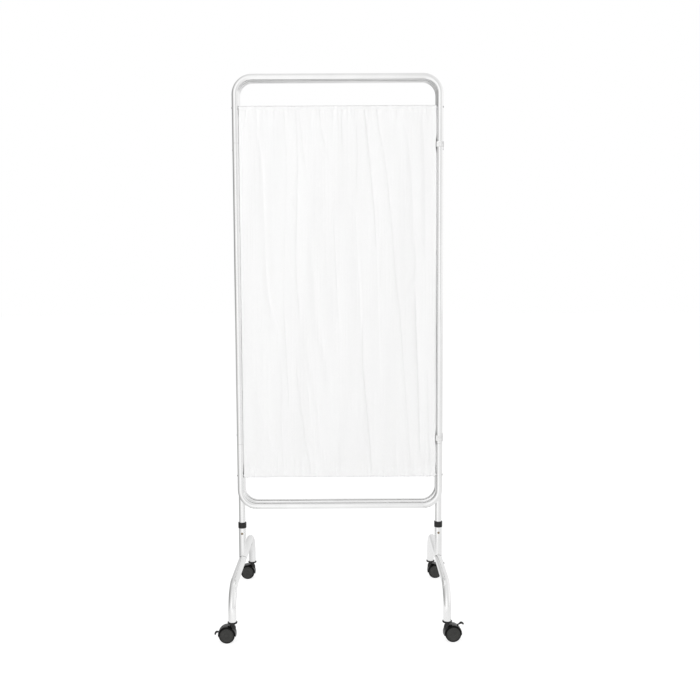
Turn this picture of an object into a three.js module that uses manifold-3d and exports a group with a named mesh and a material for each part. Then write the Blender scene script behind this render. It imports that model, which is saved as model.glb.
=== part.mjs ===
// Ward privacy screen on wheels: three framed curtain panels, folded flat, on two wheeled feet.
// Millimetres, +Z up. X runs along the panels, and Y from the front of the folded stack to its back.
// The origin is on the floor, under the middle of the centre frame.

import * as THREE from "three";
import { mergeVertices } from "three/addons/utils/BufferGeometryUtils.js";
import Module from "manifold-3d";

// Frames
const PANEL_WIDTH = 690; // over the side tubes
const PANEL_HEIGHT = 1440; // over the top and bottom rails of a wing
const PANEL_STAND = 166; // top of a foot tube to the underside of a wing
const FRAME_TUBE = 22; // outside diameter
const FRAME_WALL = 1.5;
const CORNER_RADIUS = 55; // at the tube's centre line
const BOW_LEG = 222; // outer edge of a rail to the joint with the side tubes
const SPIGOT_LENGTH = 40; // swaged end of a side tube, plugged into a bow
const SPIGOT_WALL = 1.2;
const SWAGE_SLOPE = 3; // length of the step inside a swaged end
const FRAME_PITCH = 25; // from one folded frame to the next, tube centre to tube centre

// Hinge clips
const CLIP_HEIGHT = 18;
const CLIP_WALL = 1.6;
const UPPER_CLIP_DROP = 229; // top of a frame to the middle of its upper clip
const LOWER_CLIP_RISE = 240; // bottom of a wing to the middle of its lower clip

// Curtain rods and curtains
const ROD_DIAMETER = 8;
const ROD_WALL = 1;
const ROD_ENTRY = 5; // how far a rod's end reaches into the side tube
const UPPER_ROD_DROP = 109; // top of a frame to the upper rod
const LOWER_ROD_RISE = 116; // bottom of a wing to the lower rod
const CURTAIN_MARGIN = 5; // side tube to the edge of the cloth
const CLOTH_THICKNESS = 2.4; // of the solid cloth, with its small gathers
const HEM_THICKNESS = 11.6; // over the cloth and the rod inside it
const HEM_LIP = 7; // rod centre to the edge of the cloth
const HEM_DEPTH = 15; // edge of the cloth to the line where it draws in below the rod
const SEAM_RISE = 32; // lower edge of the cloth to its sewn seam
const FOLD_DEPTH = 7; // of the deepest fold
const FOLD_WIDTH = 15; // from the middle of a fold to its shoulder
const CURTAIN_BILLOW = 2.2; // slow waves of the cloth between the folds

// Feet
const FOOT_LENGTH = 612; // between the two caster stems of a foot
const FOOT_HEIGHT = 182; // floor to the top of a foot tube
const FOOT_END_HEIGHT = 62.5; // floor to the cut ends of a foot tube
const FOOT_TUBE = 25;
const FOOT_WALL = 1.8;
const FOOT_BEND_START = 4; // from the top of a caster's plug to the start of the foot tube's bend
const SOCKET_TUBE = 25;
const SOCKET_STAND = 105; // top of a foot tube to the mouth of its socket tube
const COLLAR_DIAMETER = 28;
const COLLAR_HEIGHT = 20;
const COLLAR_CHAMFER = 1.2;
const LOCK_SCREW_DIAMETER = 7.6;
const LOCK_SCREW_DROP = 28; // mouth of a socket tube to its lock screw
const LOCK_SCREW_STAND = 0.8; // how far the screw stands out of the socket tube
const LOCK_SCREW_DRIVE = 3.6; // across the round recess of its drive
const LOCK_SCREW_DRIVE_DEPTH = 1.1;

// Casters
const WHEEL_DIAMETER = 50;
const WHEEL_WIDTH = 13;
const WHEEL_DOME = 0.8; // how far the outer face bulges
const WHEEL_EDGE = 2; // width of the rounded tread edge
const WHEEL_BORE_DEPTH = 10;
const CASTER_TRAIL = 16.5; // stem axis to axle
const WEB_THICKNESS = 10; // body between the two wheels
const HOOD_GAP = 1.5; // wheel tread to hood
const HOOD_WALL = 2;
const HOOD_WIDTH = 34;
const HOOD_SKIRT = 6; // how far the hood reaches below the axle
const NECK_DIAMETER = 19;
const NECK_DEPTH = 26; // length of the neck, from its top down into the hood
const STEM_DIAMETER = 10;
const STEM_END_GAP = 0.5; // over the end of the stem, in its socket
const AXLE_DIAMETER = 5;
const AXLE_END_GAP = 0.8; // from each end of the axle to the bottom of the wheel's bore
const SWIVEL_GAP = 0.5; // under the socket's flange
const FLANGE_DIAMETER = 29;
const FLANGE_THICKNESS = 3;
const PLUG_LENGTH = 28;
const PLUG_ROOF = 4; // plastic over the end of the stem

// Brake levers, from the pivot in the web out through the back of the hood
const LEVER_PIVOT_BACK = 8; // the pivot in front of the axle, towards the stem
const LEVER_PIVOT_RISE = 7; // the pivot above the axle
const LEVER_ARM = 43.5; // pivot to elbow
const LEVER_PEDAL = 10; // elbow to tip
const LEVER_THICKNESS = 3;
const LEVER_ARM_WIDTH = 4.6;
const LEVER_PEDAL_WIDTH = 10;
const LEVER_PEDAL_START = 38; // pivot to where the arm widens
const LEVER_PIN_DIAMETER = 3;
const LEVER_PIN_LENGTH = 9.2;
const LEVER_DROOP_DEG = 75; // how steeply the pedal hangs from the arm
const LEVER_DOWN_DEG = 0; // the arm's slope when it is pressed
const LEVER_UP_DEG = 34; // and when it is released

// Fits
const FIT_GAP = 0.3; // between pieces that seat or slide on each other
const SIDE_GAP = 0.6; // between a wheel and the web, and beside a lever's arm
const LEVER_GAP = 0.8; // above and below a lever's arm in its slot
const LEG_SEAT_GAP = 0.5; // under the leg's end at its lowest position
const CUT_OVERRUN = 4; // how far a cutting shape runs past what it cuts
const MERGE_DISTANCE = 0.001; // corners closer than this are one
const CLOTH_FLATNESS = 0.05; // rows of the cloth that are straighter than this lose their extra corners

// Counts
const TUBE_SIDES = 12;
const ROD_SIDES = 8;
const WHEEL_SIDES = 20;
const HOOD_SIDES = 24;
const RING_SIDES = 14;
const PIN_SIDES = 8;
const BEND_STEPS = 4;
const CLIP_END_STEPS = 8;
const CLOTH_COLUMNS = 36;

// How each caster stands in the photo: the way that it trails, and whether its brake is pressed.
const CASTERS = [
  { name: "front_left", side: -1, end: -1, headingDeg: 180, braked: true },
  { name: "front_right", side: 1, end: -1, headingDeg: 6, braked: false },
  { name: "rear_left", side: -1, end: 1, headingDeg: 180, braked: false },
  { name: "rear_right", side: 1, end: 1, headingDeg: 0, braked: false },
];

// The curtain's main folds. Each runs down through the points given, as shares of the cloth's width from
// its left edge and of its height from its top edge. The last value is its depth as a share of FOLD_DEPTH.
const FOLD_SHARES = [
  { path: [[0.122, 0.02], [0.117, 0.33], [0.14, 0.5], [0.195, 0.62]], depth: 0.8 },
  { path: [[0.24, 0.02], [0.22, 0.33], [0.217, 0.57], [0.235, 0.86]], depth: 0.8 },
  { path: [[0.3, 0.02], [0.34, 0.16], [0.37, 0.27]], depth: 0.6 },
  { path: [[0.4, 0.02], [0.45, 0.14], [0.46, 0.3]], depth: 0.5 },
  { path: [[0.527, 0.02], [0.526, 0.16], [0.53, 0.3]], depth: 0.6 },
  { path: [[0.6, 0.02], [0.608, 0.33], [0.616, 0.65], [0.684, 0.99]], depth: 0.9 },
  { path: [[0.65, 0.02], [0.672, 0.15], [0.699, 0.4], [0.7, 0.6]], depth: 0.5 },
  { path: [[0.729, 0.02], [0.76, 0.2], [0.82, 0.6], [0.883, 0.99]], depth: 1 },
  { path: [[0.939, 0.02], [0.941, 0.3], [0.91, 0.5], [0.925, 0.8], [0.97, 0.99]], depth: 1 },
  { path: [[0.281, 0.6], [0.3, 0.8], [0.377, 0.99]], depth: 0.7 },
  { path: [[0.18, 0.68], [0.197, 0.8], [0.223, 0.99]], depth: 0.6 },
  { path: [[0.49, 0.7], [0.498, 0.85], [0.5, 0.99]], depth: 0.4 },
];
const FOLD_FADE_SHARE = 0.08; // of the cloth's height, over which a fold starts and ends
const BILLOW_WAVES = 2.5; // slow waves across the cloth
const CLOTH_ROW_SHARES = [0.05, 0.18, 0.32, 0.46, 0.6, 0.74, 0.88]; // between the hem lines

// Sizes worked out from the ones above
const half = (size) => size / 2;
const TUBE_PITCH = PANEL_WIDTH - FRAME_TUBE; // between the side tubes' centre lines
const RAIL_HEIGHT = half(FRAME_TUBE); // a rail's centre line above the edge of the frame
const PANEL_RISE = FOOT_HEIGHT + PANEL_STAND; // floor to the underside of a wing
const FRAME_BORE = FRAME_TUBE - FRAME_WALL - FRAME_WALL;
const SPIGOT_DIAMETER = FRAME_BORE - FIT_GAP - FIT_GAP;
const UPPER_SEAM = PANEL_HEIGHT - BOW_LEG;
const UPPER_ROD = PANEL_HEIGHT - UPPER_ROD_DROP;
const FOOT_AXIS = FOOT_HEIGHT - half(FOOT_TUBE);
const FOOT_CORNER_RADIUS = FOOT_AXIS - FOOT_END_HEIGHT - PLUG_LENGTH - FOOT_BEND_START;
const SOCKET_TOP = FOOT_HEIGHT + SOCKET_STAND;
const LOCK_SCREW_HEIGHT = SOCKET_TOP - LOCK_SCREW_DROP;
const SOCKET_BORE = FRAME_TUBE + FIT_GAP + FIT_GAP;
const AXLE_HEIGHT = half(WHEEL_DIAMETER);
const WHEEL_INNER_FACE = half(WEB_THICKNESS) + SIDE_GAP;
const HOOD_RADIUS = half(WHEEL_DIAMETER) + HOOD_GAP + HOOD_WALL;
const FLANGE_TOP = FOOT_END_HEIGHT - FIT_GAP;
const FLANGE_BOTTOM = FLANGE_TOP - FLANGE_THICKNESS;
const NECK_TOP = FLANGE_BOTTOM - SWIVEL_GAP;
const STEM_TOP = FLANGE_TOP + PLUG_LENGTH - PLUG_ROOF - STEM_END_GAP;
const AXLE_LENGTH = (WHEEL_INNER_FACE + WHEEL_BORE_DEPTH - AXLE_END_GAP) * 2;

const wasm = await Module();
wasm.setup();

const material = (color, roughness, metalness) =>
  new THREE.MeshStandardMaterial({ color, roughness, metalness });
const silverTube = () => material(0xd8d9d6, 0.35, 0.9);
const whiteCloth = () => material(0xf4f4f2, 0.9, 0);
const palePlastic = () => material(0xd9dad6, 0.5, 0);
const blackPlastic = () => material(0x1d1c1a, 0.5, 0);
const wheelPlastic = () => material(0x33332f, 0.6, 0);
const brightSteel = () => material(0xb9a98c, 0.35, 1);

// Solids: a geometry becomes a solid to be joined or cut, and a solid becomes a geometry again.

function toSolid(geometry) {
  const flat = geometry.index ? geometry.toNonIndexed() : geometry;
  const bare = new THREE.BufferGeometry();
  bare.setAttribute("position", flat.getAttribute("position"));
  const merged = mergeVertices(bare, MERGE_DISTANCE);
  const corners = merged.index.array;
  const kept = [];
  for (let i = 0; i < corners.length; i += 3) {
    const [a, b, c] = [corners[i], corners[i + 1], corners[i + 2]];
    if (a !== b && b !== c && c !== a) kept.push(a, b, c);
  }
  return new wasm.Manifold(
    new wasm.Mesh({
      numProp: 3,
      vertProperties: merged.getAttribute("position").array,
      triVerts: new Uint32Array(kept),
    }),
  );
}

function toGeometry(solid) {
  const { vertProperties, triVerts } = solid.getMesh();
  const geometry = new THREE.BufferGeometry();
  geometry.setAttribute("position", new THREE.BufferAttribute(vertProperties, 3));
  geometry.setIndex(new THREE.BufferAttribute(triVerts, 1));
  return geometry;
}

const joined = (geometries) =>
  toGeometry(geometries.map(toSolid).reduce((sum, next) => sum.add(next)));

const cut = (geometry, cutters) =>
  toGeometry(cutters.map(toSolid).reduce((rest, next) => rest.subtract(next), toSolid(geometry)));

// A hole with straight sides clears a round of this diameter when its corners lie on this one.
const aroundDiameter = (diameter, sides) => diameter / Math.cos(Math.PI / sides);

function circlePoints(diameter, sides) {
  const points = [];
  for (let i = 0; i < sides; i += 1) {
    const angle = (2 * Math.PI * i) / sides;
    points.push(new THREE.Vector2(Math.cos(angle), Math.sin(angle)).multiplyScalar(half(diameter)));
  }
  return points;
}

// Round bars, holes and turned pieces

// A cylinder along Y, centred on the origin.
const bar = (diameter, length, sides) =>
  new THREE.CylinderGeometry(half(diameter), half(diameter), length, sides);
const barAlongX = (diameter, length, sides) => bar(diameter, length, sides).rotateZ(half(Math.PI));
const barAlongZ = (diameter, length, sides) => bar(diameter, length, sides).rotateX(half(Math.PI));
const holeCutter = (diameter, length, sides) => bar(aroundDiameter(diameter, sides), length, sides);

// A closed profile of [diameter, place along the axis] pairs, turned round the Y axis.
function turned(profile, sides, startAngle) {
  const points = profile.map(([diameter, along]) => new THREE.Vector2(half(diameter), along));
  return new THREE.LatheGeometry(points, sides, startAngle);
}

// The same round the Z axis, with its corners in line with those of the bent tubes.
const turnedUpright = (profile, sides) => turned(profile, sides, 0).rotateX(half(Math.PI));

// Bent tubes

// A path that passes through stations, with its parameter spread evenly over them and not over its length.
class StationPath extends THREE.Curve {
  constructor(stations) {
    super();
    this.stations = stations;
  }

  station(t) {
    return this.stations[Math.round(t * (this.stations.length - 1))];
  }

  getPoint(t) {
    return this.station(t).point.clone();
  }

  getTangent(t) {
    return this.station(t).tangent.clone();
  }

  getUtoTmapping(u) {
    return u;
  }
}

// The stations of a path along straight runs between the corners given, with each inner corner rounded.
function bentPath(corners, radius) {
  const direction = (from, to) => to.clone().sub(from).normalize();
  const last = corners.length - 1;
  const stations = [{ point: corners[0], tangent: direction(corners[0], corners[1]) }];
  for (let i = 1; i < last; i += 1) {
    const entry = direction(corners[i - 1], corners[i]);
    const exit = direction(corners[i], corners[i + 1]);
    const turn = entry.angleTo(exit);
    const start = corners[i].clone().addScaledVector(entry, -radius * Math.tan(half(turn)));
    const inward = exit.clone().addScaledVector(entry, -exit.dot(entry)).normalize();
    for (let step = 0; step <= BEND_STEPS; step += 1) {
      const angle = (turn * step) / BEND_STEPS;
      const point = start
        .clone()
        .addScaledVector(entry, radius * Math.sin(angle))
        .addScaledVector(inward, radius * (1 - Math.cos(angle)));
      const tangent = entry
        .clone()
        .multiplyScalar(Math.cos(angle))
        .addScaledVector(inward, Math.sin(angle));
      stations.push({ point, tangent });
    }
  }
  stations.push({ point: corners[last], tangent: direction(corners[last - 1], corners[last]) });
  return new StationPath(stations);
}

function tubeSection(diameter, bore, sides) {
  const section = new THREE.Shape(circlePoints(diameter, sides));
  section.holes.push(new THREE.Path(circlePoints(aroundDiameter(bore, sides), sides)));
  return section;
}

function bentTube(corners, radius, diameter, bore, sides) {
  const path = bentPath(corners, radius);
  return new THREE.ExtrudeGeometry(tubeSection(diameter, bore, sides), {
    steps: path.stations.length - 1,
    extrudePath: path,
  });
}

// A straight tube between two ends.
const straightTube = (from, to, diameter, bore, sides) =>
  bentTube([from, to], diameter, diameter, bore, sides);

const at = (x, y, z) => new THREE.Vector3(x, y, z);

// Frames. Each is drawn round X = 0 and Y = 0, with Z = 0 at the underside of a wing.

const rodHoleCutter = (height) =>
  barAlongX(
    aroundDiameter(ROD_DIAMETER + FIT_GAP + FIT_GAP, RING_SIDES),
    TUBE_PITCH,
    RING_SIDES,
  ).translate(0, 0, height);

// A bow from one joint line round a rail to the other joint line, with the rod's holes in its legs.
function bow(jointHeight, railHeight, rodHeight) {
  const side = half(TUBE_PITCH);
  const tube = bentTube(
    [at(-side, 0, jointHeight), at(-side, 0, railHeight), at(side, 0, railHeight), at(side, 0, jointHeight)],
    CORNER_RADIUS,
    FRAME_TUBE,
    FRAME_BORE,
    TUBE_SIDES,
  );
  return cut(tube, [rodHoleCutter(rodHeight)]);
}

const topBow = () => bow(UPPER_SEAM, PANEL_HEIGHT - RAIL_HEIGHT, UPPER_ROD);
const bottomBow = () => bow(BOW_LEG, RAIL_HEIGHT, LOWER_ROD_RISE);

// Half of a swaged tube's profile, from its outer shoulder round the tip of its spigot to its inner wall.
function swagedEnd(shoulder, outwards) {
  const tip = shoulder + outwards * SPIGOT_LENGTH;
  const slope = shoulder - outwards * SWAGE_SLOPE;
  const spigotBore = aroundDiameter(SPIGOT_DIAMETER - SPIGOT_WALL - SPIGOT_WALL, TUBE_SIDES);
  return [
    [FRAME_TUBE, shoulder],
    [SPIGOT_DIAMETER, shoulder],
    [SPIGOT_DIAMETER, tip],
    [spigotBore, tip],
    [spigotBore, shoulder],
    [aroundDiameter(FRAME_BORE, TUBE_SIDES), slope],
  ];
}

// A side tube of a wing, swaged at both ends to plug into the bows.
function sideTube() {
  const lower = swagedEnd(BOW_LEG + FIT_GAP, -1).reverse();
  const upper = swagedEnd(UPPER_SEAM - FIT_GAP, 1);
  return turnedUpright([...lower, ...upper, lower[0]], TUBE_SIDES);
}

// A leg of the centre frame: swaged at its top, and plain down to its seat on the foot tube.
function leg(side) {
  const foot = FOOT_HEIGHT + LEG_SEAT_GAP - PANEL_RISE;
  const start = [aroundDiameter(FRAME_BORE, TUBE_SIDES), foot];
  const upper = swagedEnd(UPPER_SEAM - FIT_GAP, 1);
  const tube = turnedUpright([start, [FRAME_TUBE, foot], ...upper, start], TUBE_SIDES);
  return cut(tube.translate(half(TUBE_PITCH) * side, 0, 0), [rodHoleCutter(LOWER_ROD_RISE)]);
}

function rod() {
  const end = half(TUBE_PITCH) - half(FRAME_TUBE) + ROD_ENTRY;
  const bore = ROD_DIAMETER - ROD_WALL - ROD_WALL;
  return straightTube(at(-end, 0, 0), at(end, 0, 0), ROD_DIAMETER, bore, ROD_SIDES);
}

// Curtains

const CLOTH_WIDTH = TUBE_PITCH - FRAME_TUBE - CURTAIN_MARGIN - CURTAIN_MARGIN;
const CLOTH_BOTTOM = LOWER_ROD_RISE - HEM_LIP;
const CLOTH_TOP = UPPER_ROD + HEM_LIP;
const CLOTH_HEIGHT = CLOTH_TOP - CLOTH_BOTTOM;

const smooth = (share) => {
  const t = Math.min(Math.max(share, 0), 1);
  return t * t * (3 - 2 * t);
};

// The place across the cloth of a fold at a height share, by straight steps between the fold's points.
function foldPlace(path, down) {
  for (let i = 1; i < path.length; i += 1) {
    const [[x0, y0], [x1, y1]] = [path[i - 1], path[i]];
    if (down <= y1 || i === path.length - 1) return x0 + ((x1 - x0) * (down - y0)) / (y1 - y0);
  }
  return path[0][0];
}

// How far the cloth stands behind its middle plane at a place: the folds drawn back, over slow waves.
function clothOffset(across, down) {
  const swell = smooth(down / FOLD_FADE_SHARE) * smooth((1 - down) / FOLD_FADE_SHARE);
  const wave = Math.sin(2 * Math.PI * (BILLOW_WAVES * across + down)) * CURTAIN_BILLOW;
  const drawn = FOLD_SHARES.reduce((sum, { path, depth }) => {
    const start = path[0][1];
    const end = path[path.length - 1][1];
    const fade = smooth((down - start) / FOLD_FADE_SHARE) * smooth((end - down) / FOLD_FADE_SHARE);
    const distance = ((across - foldPlace(path, down)) * CLOTH_WIDTH) / FOLD_WIDTH;
    return sum + depth * fade * FOLD_DEPTH * Math.exp(-distance * distance);
  }, 0);
  return (drawn - wave - half(CURTAIN_BILLOW)) * swell;
}

// The rows of the cloth from its top edge down: height, thickness, and 1 where the folds show.
function clothRows() {
  const drawnIn = CLOTH_BOTTOM + HEM_DEPTH;
  const lipThickness = HEM_THICKNESS - HEM_LIP;
  const rows = [
    { z: CLOTH_TOP, thickness: lipThickness, folded: 0 },
    { z: UPPER_ROD + half(HEM_LIP), thickness: HEM_THICKNESS, folded: 0 },
    { z: UPPER_ROD - half(HEM_LIP), thickness: HEM_THICKNESS, folded: 0 },
    { z: CLOTH_TOP - HEM_DEPTH, thickness: CLOTH_THICKNESS, folded: 0 },
  ];
  const top = CLOTH_TOP - HEM_DEPTH;
  const bottom = CLOTH_BOTTOM + SEAM_RISE;
  for (const share of CLOTH_ROW_SHARES) {
    rows.push({ z: top + (bottom - top) * share, thickness: CLOTH_THICKNESS, folded: 1 });
  }
  rows.push(
    { z: bottom, thickness: CLOTH_THICKNESS, folded: 1 },
    { z: drawnIn, thickness: CLOTH_THICKNESS, folded: 0 },
    { z: LOWER_ROD_RISE + half(HEM_LIP), thickness: HEM_THICKNESS, folded: 0 },
    { z: LOWER_ROD_RISE - half(HEM_LIP), thickness: HEM_THICKNESS, folded: 0 },
    { z: CLOTH_BOTTOM, thickness: lipThickness, folded: 0 },
  );
  return rows;
}

// The closed cloth: a front and a back grid, joined along the four edges, with the rods' bores through it.
function curtain(mirrored) {
  const rows = clothRows();
  const perRow = CLOTH_COLUMNS + 1;
  const positions = [];
  for (const face of [-1, 1]) {
    for (const { z, thickness, folded } of rows) {
      for (let column = 0; column < perRow; column += 1) {
        const across = column / CLOTH_COLUMNS;
        const down = (CLOTH_TOP - z) / CLOTH_HEIGHT;
        const offset = folded * clothOffset(mirrored ? 1 - across : across, down);
        const x = (across - half(1)) * CLOTH_WIDTH;
        positions.push(x, offset + face * half(thickness), z);
      }
    }
  }
  const back = perRow * rows.length;
  const faces = [];
  const quad = (a, b, c, d) => faces.push(a, b, c, a, c, d);
  for (let row = 0; row < rows.length - 1; row += 1) {
    for (let column = 0; column < CLOTH_COLUMNS; column += 1) {
      const a = row * perRow + column;
      const d = a + perRow;
      quad(a, d, d + 1, a + 1);
      quad(back + a, back + a + 1, back + d + 1, back + d);
    }
    const left = row * perRow;
    const right = left + CLOTH_COLUMNS;
    quad(left, back + left, back + left + perRow, left + perRow);
    quad(right, right + perRow, back + right + perRow, back + right);
  }
  const lowest = (rows.length - 1) * perRow;
  for (let column = 0; column < CLOTH_COLUMNS; column += 1) {
    quad(column, column + 1, back + column + 1, back + column);
    const a = lowest + column;
    quad(a, back + a, back + a + 1, a + 1);
  }
  const cloth = new THREE.BufferGeometry();
  cloth.setAttribute("position", new THREE.Float32BufferAttribute(positions, 3));
  cloth.setIndex(faces);
  const bore = (height) =>
    barAlongX(
      aroundDiameter(ROD_DIAMETER + FIT_GAP + FIT_GAP, PIN_SIDES),
      CLOTH_WIDTH + CUT_OVERRUN,
      PIN_SIDES,
    ).translate(0, 0, height);
  return toGeometry(
    toSolid(cloth)
      .subtract(toSolid(bore(UPPER_ROD)))
      .subtract(toSolid(bore(LOWER_ROD_RISE)))
      .simplify(CLOTH_FLATNESS),
  );
}

// Hinge clips: two rings in one, round a tube of one frame and the tube of the next frame before it.

function hingeClip() {
  const radius = half(FRAME_TUBE) + FIT_GAP + CLIP_WALL;
  const outline = [];
  for (const end of [0, 1]) {
    for (let step = 0; step <= CLIP_END_STEPS; step += 1) {
      const angle = Math.PI * (end + step / CLIP_END_STEPS);
      const centre = -FRAME_PITCH * end;
      outline.push(
        new THREE.Vector2(radius * Math.cos(angle), centre + radius * Math.sin(angle)),
      );
    }
  }
  const plate = new THREE.Shape(outline);
  const bore = aroundDiameter(FRAME_TUBE + FIT_GAP + FIT_GAP, RING_SIDES);
  for (const centre of [0, -FRAME_PITCH]) {
    const ring = circlePoints(bore, RING_SIDES).map((point) => point.setY(point.y + centre));
    plate.holes.push(new THREE.Path(ring));
  }
  return new THREE.ExtrudeGeometry(plate, { depth: CLIP_HEIGHT, bevelEnabled: false, steps: 1 })
    .translate(0, 0, -half(CLIP_HEIGHT));
}

// Feet. Each is drawn round X = 0, with Z = 0 at the floor.

function footTube() {
  const end = half(FOOT_LENGTH);
  return bentTube(
    [
      at(0, -end, FOOT_END_HEIGHT),
      at(0, -end, FOOT_AXIS),
      at(0, end, FOOT_AXIS),
      at(0, end, FOOT_END_HEIGHT),
    ],
    FOOT_CORNER_RADIUS,
    FOOT_TUBE,
    FOOT_TUBE - FOOT_WALL - FOOT_WALL,
    TUBE_SIDES,
  );
}

// The upright tube that takes the leg: its foot is hollowed to sit on the foot tube.
function socketTube() {
  const tube = straightTube(at(0, 0, FOOT_AXIS), at(0, 0, SOCKET_TOP), SOCKET_TUBE, SOCKET_BORE, TUBE_SIDES);
  const saddle = bar(
    aroundDiameter(FOOT_TUBE + FIT_GAP + FIT_GAP, HOOD_SIDES),
    SOCKET_TUBE + CUT_OVERRUN,
    HOOD_SIDES,
  ).translate(0, 0, FOOT_AXIS);
  const hole = holeCutter(LOCK_SCREW_DIAMETER + FIT_GAP + FIT_GAP, SOCKET_TUBE, RING_SIDES);
  return cut(tube, [saddle, hole.translate(0, -half(SOCKET_TUBE), LOCK_SCREW_HEIGHT)]);
}

// The collar: its lower half grips the socket tube, and its upper half guides the leg.
function collar() {
  const middle = SOCKET_TOP + FIT_GAP;
  const bottom = SOCKET_TOP - half(COLLAR_HEIGHT);
  const top = SOCKET_TOP + half(COLLAR_HEIGHT);
  const chamfered = COLLAR_DIAMETER - COLLAR_CHAMFER - COLLAR_CHAMFER;
  const gripBore = aroundDiameter(SOCKET_TUBE + FIT_GAP + FIT_GAP, TUBE_SIDES);
  const guideBore = aroundDiameter(SOCKET_BORE, TUBE_SIDES);
  return turnedUpright(
    [
      [gripBore, bottom],
      [chamfered, bottom],
      [COLLAR_DIAMETER, bottom + COLLAR_CHAMFER],
      [COLLAR_DIAMETER, top - COLLAR_CHAMFER],
      [chamfered, top],
      [guideBore, top],
      [guideBore, middle],
      [gripBore, middle],
      [gripBore, bottom],
    ],
    TUBE_SIDES,
  );
}

// The lock screw, along Y from its face at the front to its tip just short of the leg.
function lockScrew() {
  const face = half(SOCKET_TUBE) + LOCK_SCREW_STAND;
  const tip = half(FRAME_TUBE) + FIT_GAP;
  const drive = face - LOCK_SCREW_DRIVE_DEPTH;
  return turned(
    [
      [0, -drive],
      [LOCK_SCREW_DRIVE, -drive],
      [LOCK_SCREW_DRIVE, -face],
      [LOCK_SCREW_DIAMETER, -face],
      [LOCK_SCREW_DIAMETER, -tip],
      [0, -tip],
    ],
    RING_SIDES,
    0,
  );
}

// Casters. Each is drawn round its upright stem axis, with Z = 0 at the floor, and trails towards +X.

// The flanged plug in the end of the foot tube, with the bore that the stem turns in.
function casterSocket() {
  const plug = FOOT_TUBE - FOOT_WALL - FOOT_WALL - FIT_GAP - FIT_GAP;
  const bore = aroundDiameter(STEM_DIAMETER + FIT_GAP + FIT_GAP, TUBE_SIDES);
  const top = FLANGE_TOP + PLUG_LENGTH;
  const roof = top - PLUG_ROOF;
  return turnedUpright(
    [
      [0, roof],
      [bore, roof],
      [bore, FLANGE_BOTTOM],
      [FLANGE_DIAMETER, FLANGE_BOTTOM],
      [FLANGE_DIAMETER, FLANGE_TOP],
      [plug, FLANGE_TOP],
      [plug, top],
      [0, top],
    ],
    TUBE_SIDES,
  );
}

// A slot in the web for the lever's arm, from below its pressed place to above its released place.
function leverSlotCutter() {
  const reach = HOOD_RADIUS + HOOD_RADIUS;
  const room = half(LEVER_THICKNESS) + LEVER_GAP;
  const down = THREE.MathUtils.degToRad(LEVER_DOWN_DEG);
  const up = THREE.MathUtils.degToRad(LEVER_UP_DEG);
  const beside = (angle, side) =>
    new THREE.Vector2(-Math.sin(angle), Math.cos(angle)).multiplyScalar(room * side);
  const along = (angle) => new THREE.Vector2(Math.cos(angle), Math.sin(angle)).multiplyScalar(reach);
  const outline = [
    beside(down, -1),
    along(down).add(beside(down, -1)),
    along(up).add(beside(up, 1)),
    beside(up, 1),
  ];
  const width = LEVER_ARM_WIDTH + SIDE_GAP;
  const fan = new THREE.ExtrudeGeometry(new THREE.Shape(outline), {
    depth: width,
    bevelEnabled: false,
    steps: 1,
  })
    .rotateX(half(Math.PI))
    .translate(0, half(width), 0);
  return joined([fan, bar(room + room, width, RING_SIDES)]);
}

// The caster's body: a hood over both wheels, a web between them, and the neck and stem that swivel.
function casterBody() {
  const hood = bar(HOOD_RADIUS + HOOD_RADIUS, HOOD_WIDTH, HOOD_SIDES);
  hood.translate(CASTER_TRAIL, 0, AXLE_HEIGHT);
  const neck = barAlongZ(NECK_DIAMETER, NECK_DEPTH, RING_SIDES);
  neck.translate(0, 0, NECK_TOP - half(NECK_DEPTH));
  const stemSpan = STEM_TOP - NECK_TOP + NECK_DEPTH;
  const stem = barAlongZ(STEM_DIAMETER, stemSpan, TUBE_SIDES).translate(0, 0, STEM_TOP - half(stemSpan));
  const pocketDiameter = WHEEL_DIAMETER + HOOD_GAP + HOOD_GAP;
  const pocket = (side) =>
    holeCutter(pocketDiameter, HOOD_WIDTH, HOOD_SIDES).translate(
      CASTER_TRAIL,
      side * half(WEB_THICKNESS + HOOD_WIDTH),
      AXLE_HEIGHT,
    );
  const skirtCut = new THREE.BoxGeometry(
    HOOD_RADIUS * 2 + CUT_OVERRUN,
    HOOD_WIDTH + CUT_OVERRUN,
    HOOD_RADIUS,
  ).translate(CASTER_TRAIL, 0, AXLE_HEIGHT - HOOD_SKIRT - half(HOOD_RADIUS));
  const axleHole = holeCutter(AXLE_DIAMETER + FIT_GAP + FIT_GAP, HOOD_WIDTH, TUBE_SIDES).translate(
    CASTER_TRAIL,
    0,
    AXLE_HEIGHT,
  );
  const pivot = [CASTER_TRAIL - LEVER_PIVOT_BACK, 0, AXLE_HEIGHT + LEVER_PIVOT_RISE];
  const pinHole = holeCutter(LEVER_PIN_DIAMETER + FIT_GAP + FIT_GAP, WEB_THICKNESS, PIN_SIDES);
  return cut(joined([hood, neck, stem]), [
    pocket(-1),
    pocket(1),
    skirtCut,
    axleHole,
    pinHole.translate(...pivot),
    leverSlotCutter().translate(...pivot),
  ]);
}

const axle = () => bar(AXLE_DIAMETER, AXLE_LENGTH, TUBE_SIDES);

// A wheel, along Y from its flat inner face at 0 to its domed outer face.
// One flat side of its tread faces down.
function wheel() {
  const bore = aroundDiameter(AXLE_DIAMETER + FIT_GAP + FIT_GAP, WHEEL_SIDES);
  const tread = aroundDiameter(WHEEL_DIAMETER, WHEEL_SIDES);
  const edge = WHEEL_DIAMETER - WHEEL_EDGE - WHEEL_EDGE;
  return turned(
    [
      [0, WHEEL_BORE_DEPTH],
      [bore, WHEEL_BORE_DEPTH],
      [bore, 0],
      [tread, 0],
      [tread, WHEEL_WIDTH - WHEEL_EDGE],
      [edge, WHEEL_WIDTH],
      [0, WHEEL_WIDTH + WHEEL_DOME],
    ],
    WHEEL_SIDES,
    Math.PI / WHEEL_SIDES,
  );
}

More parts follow.
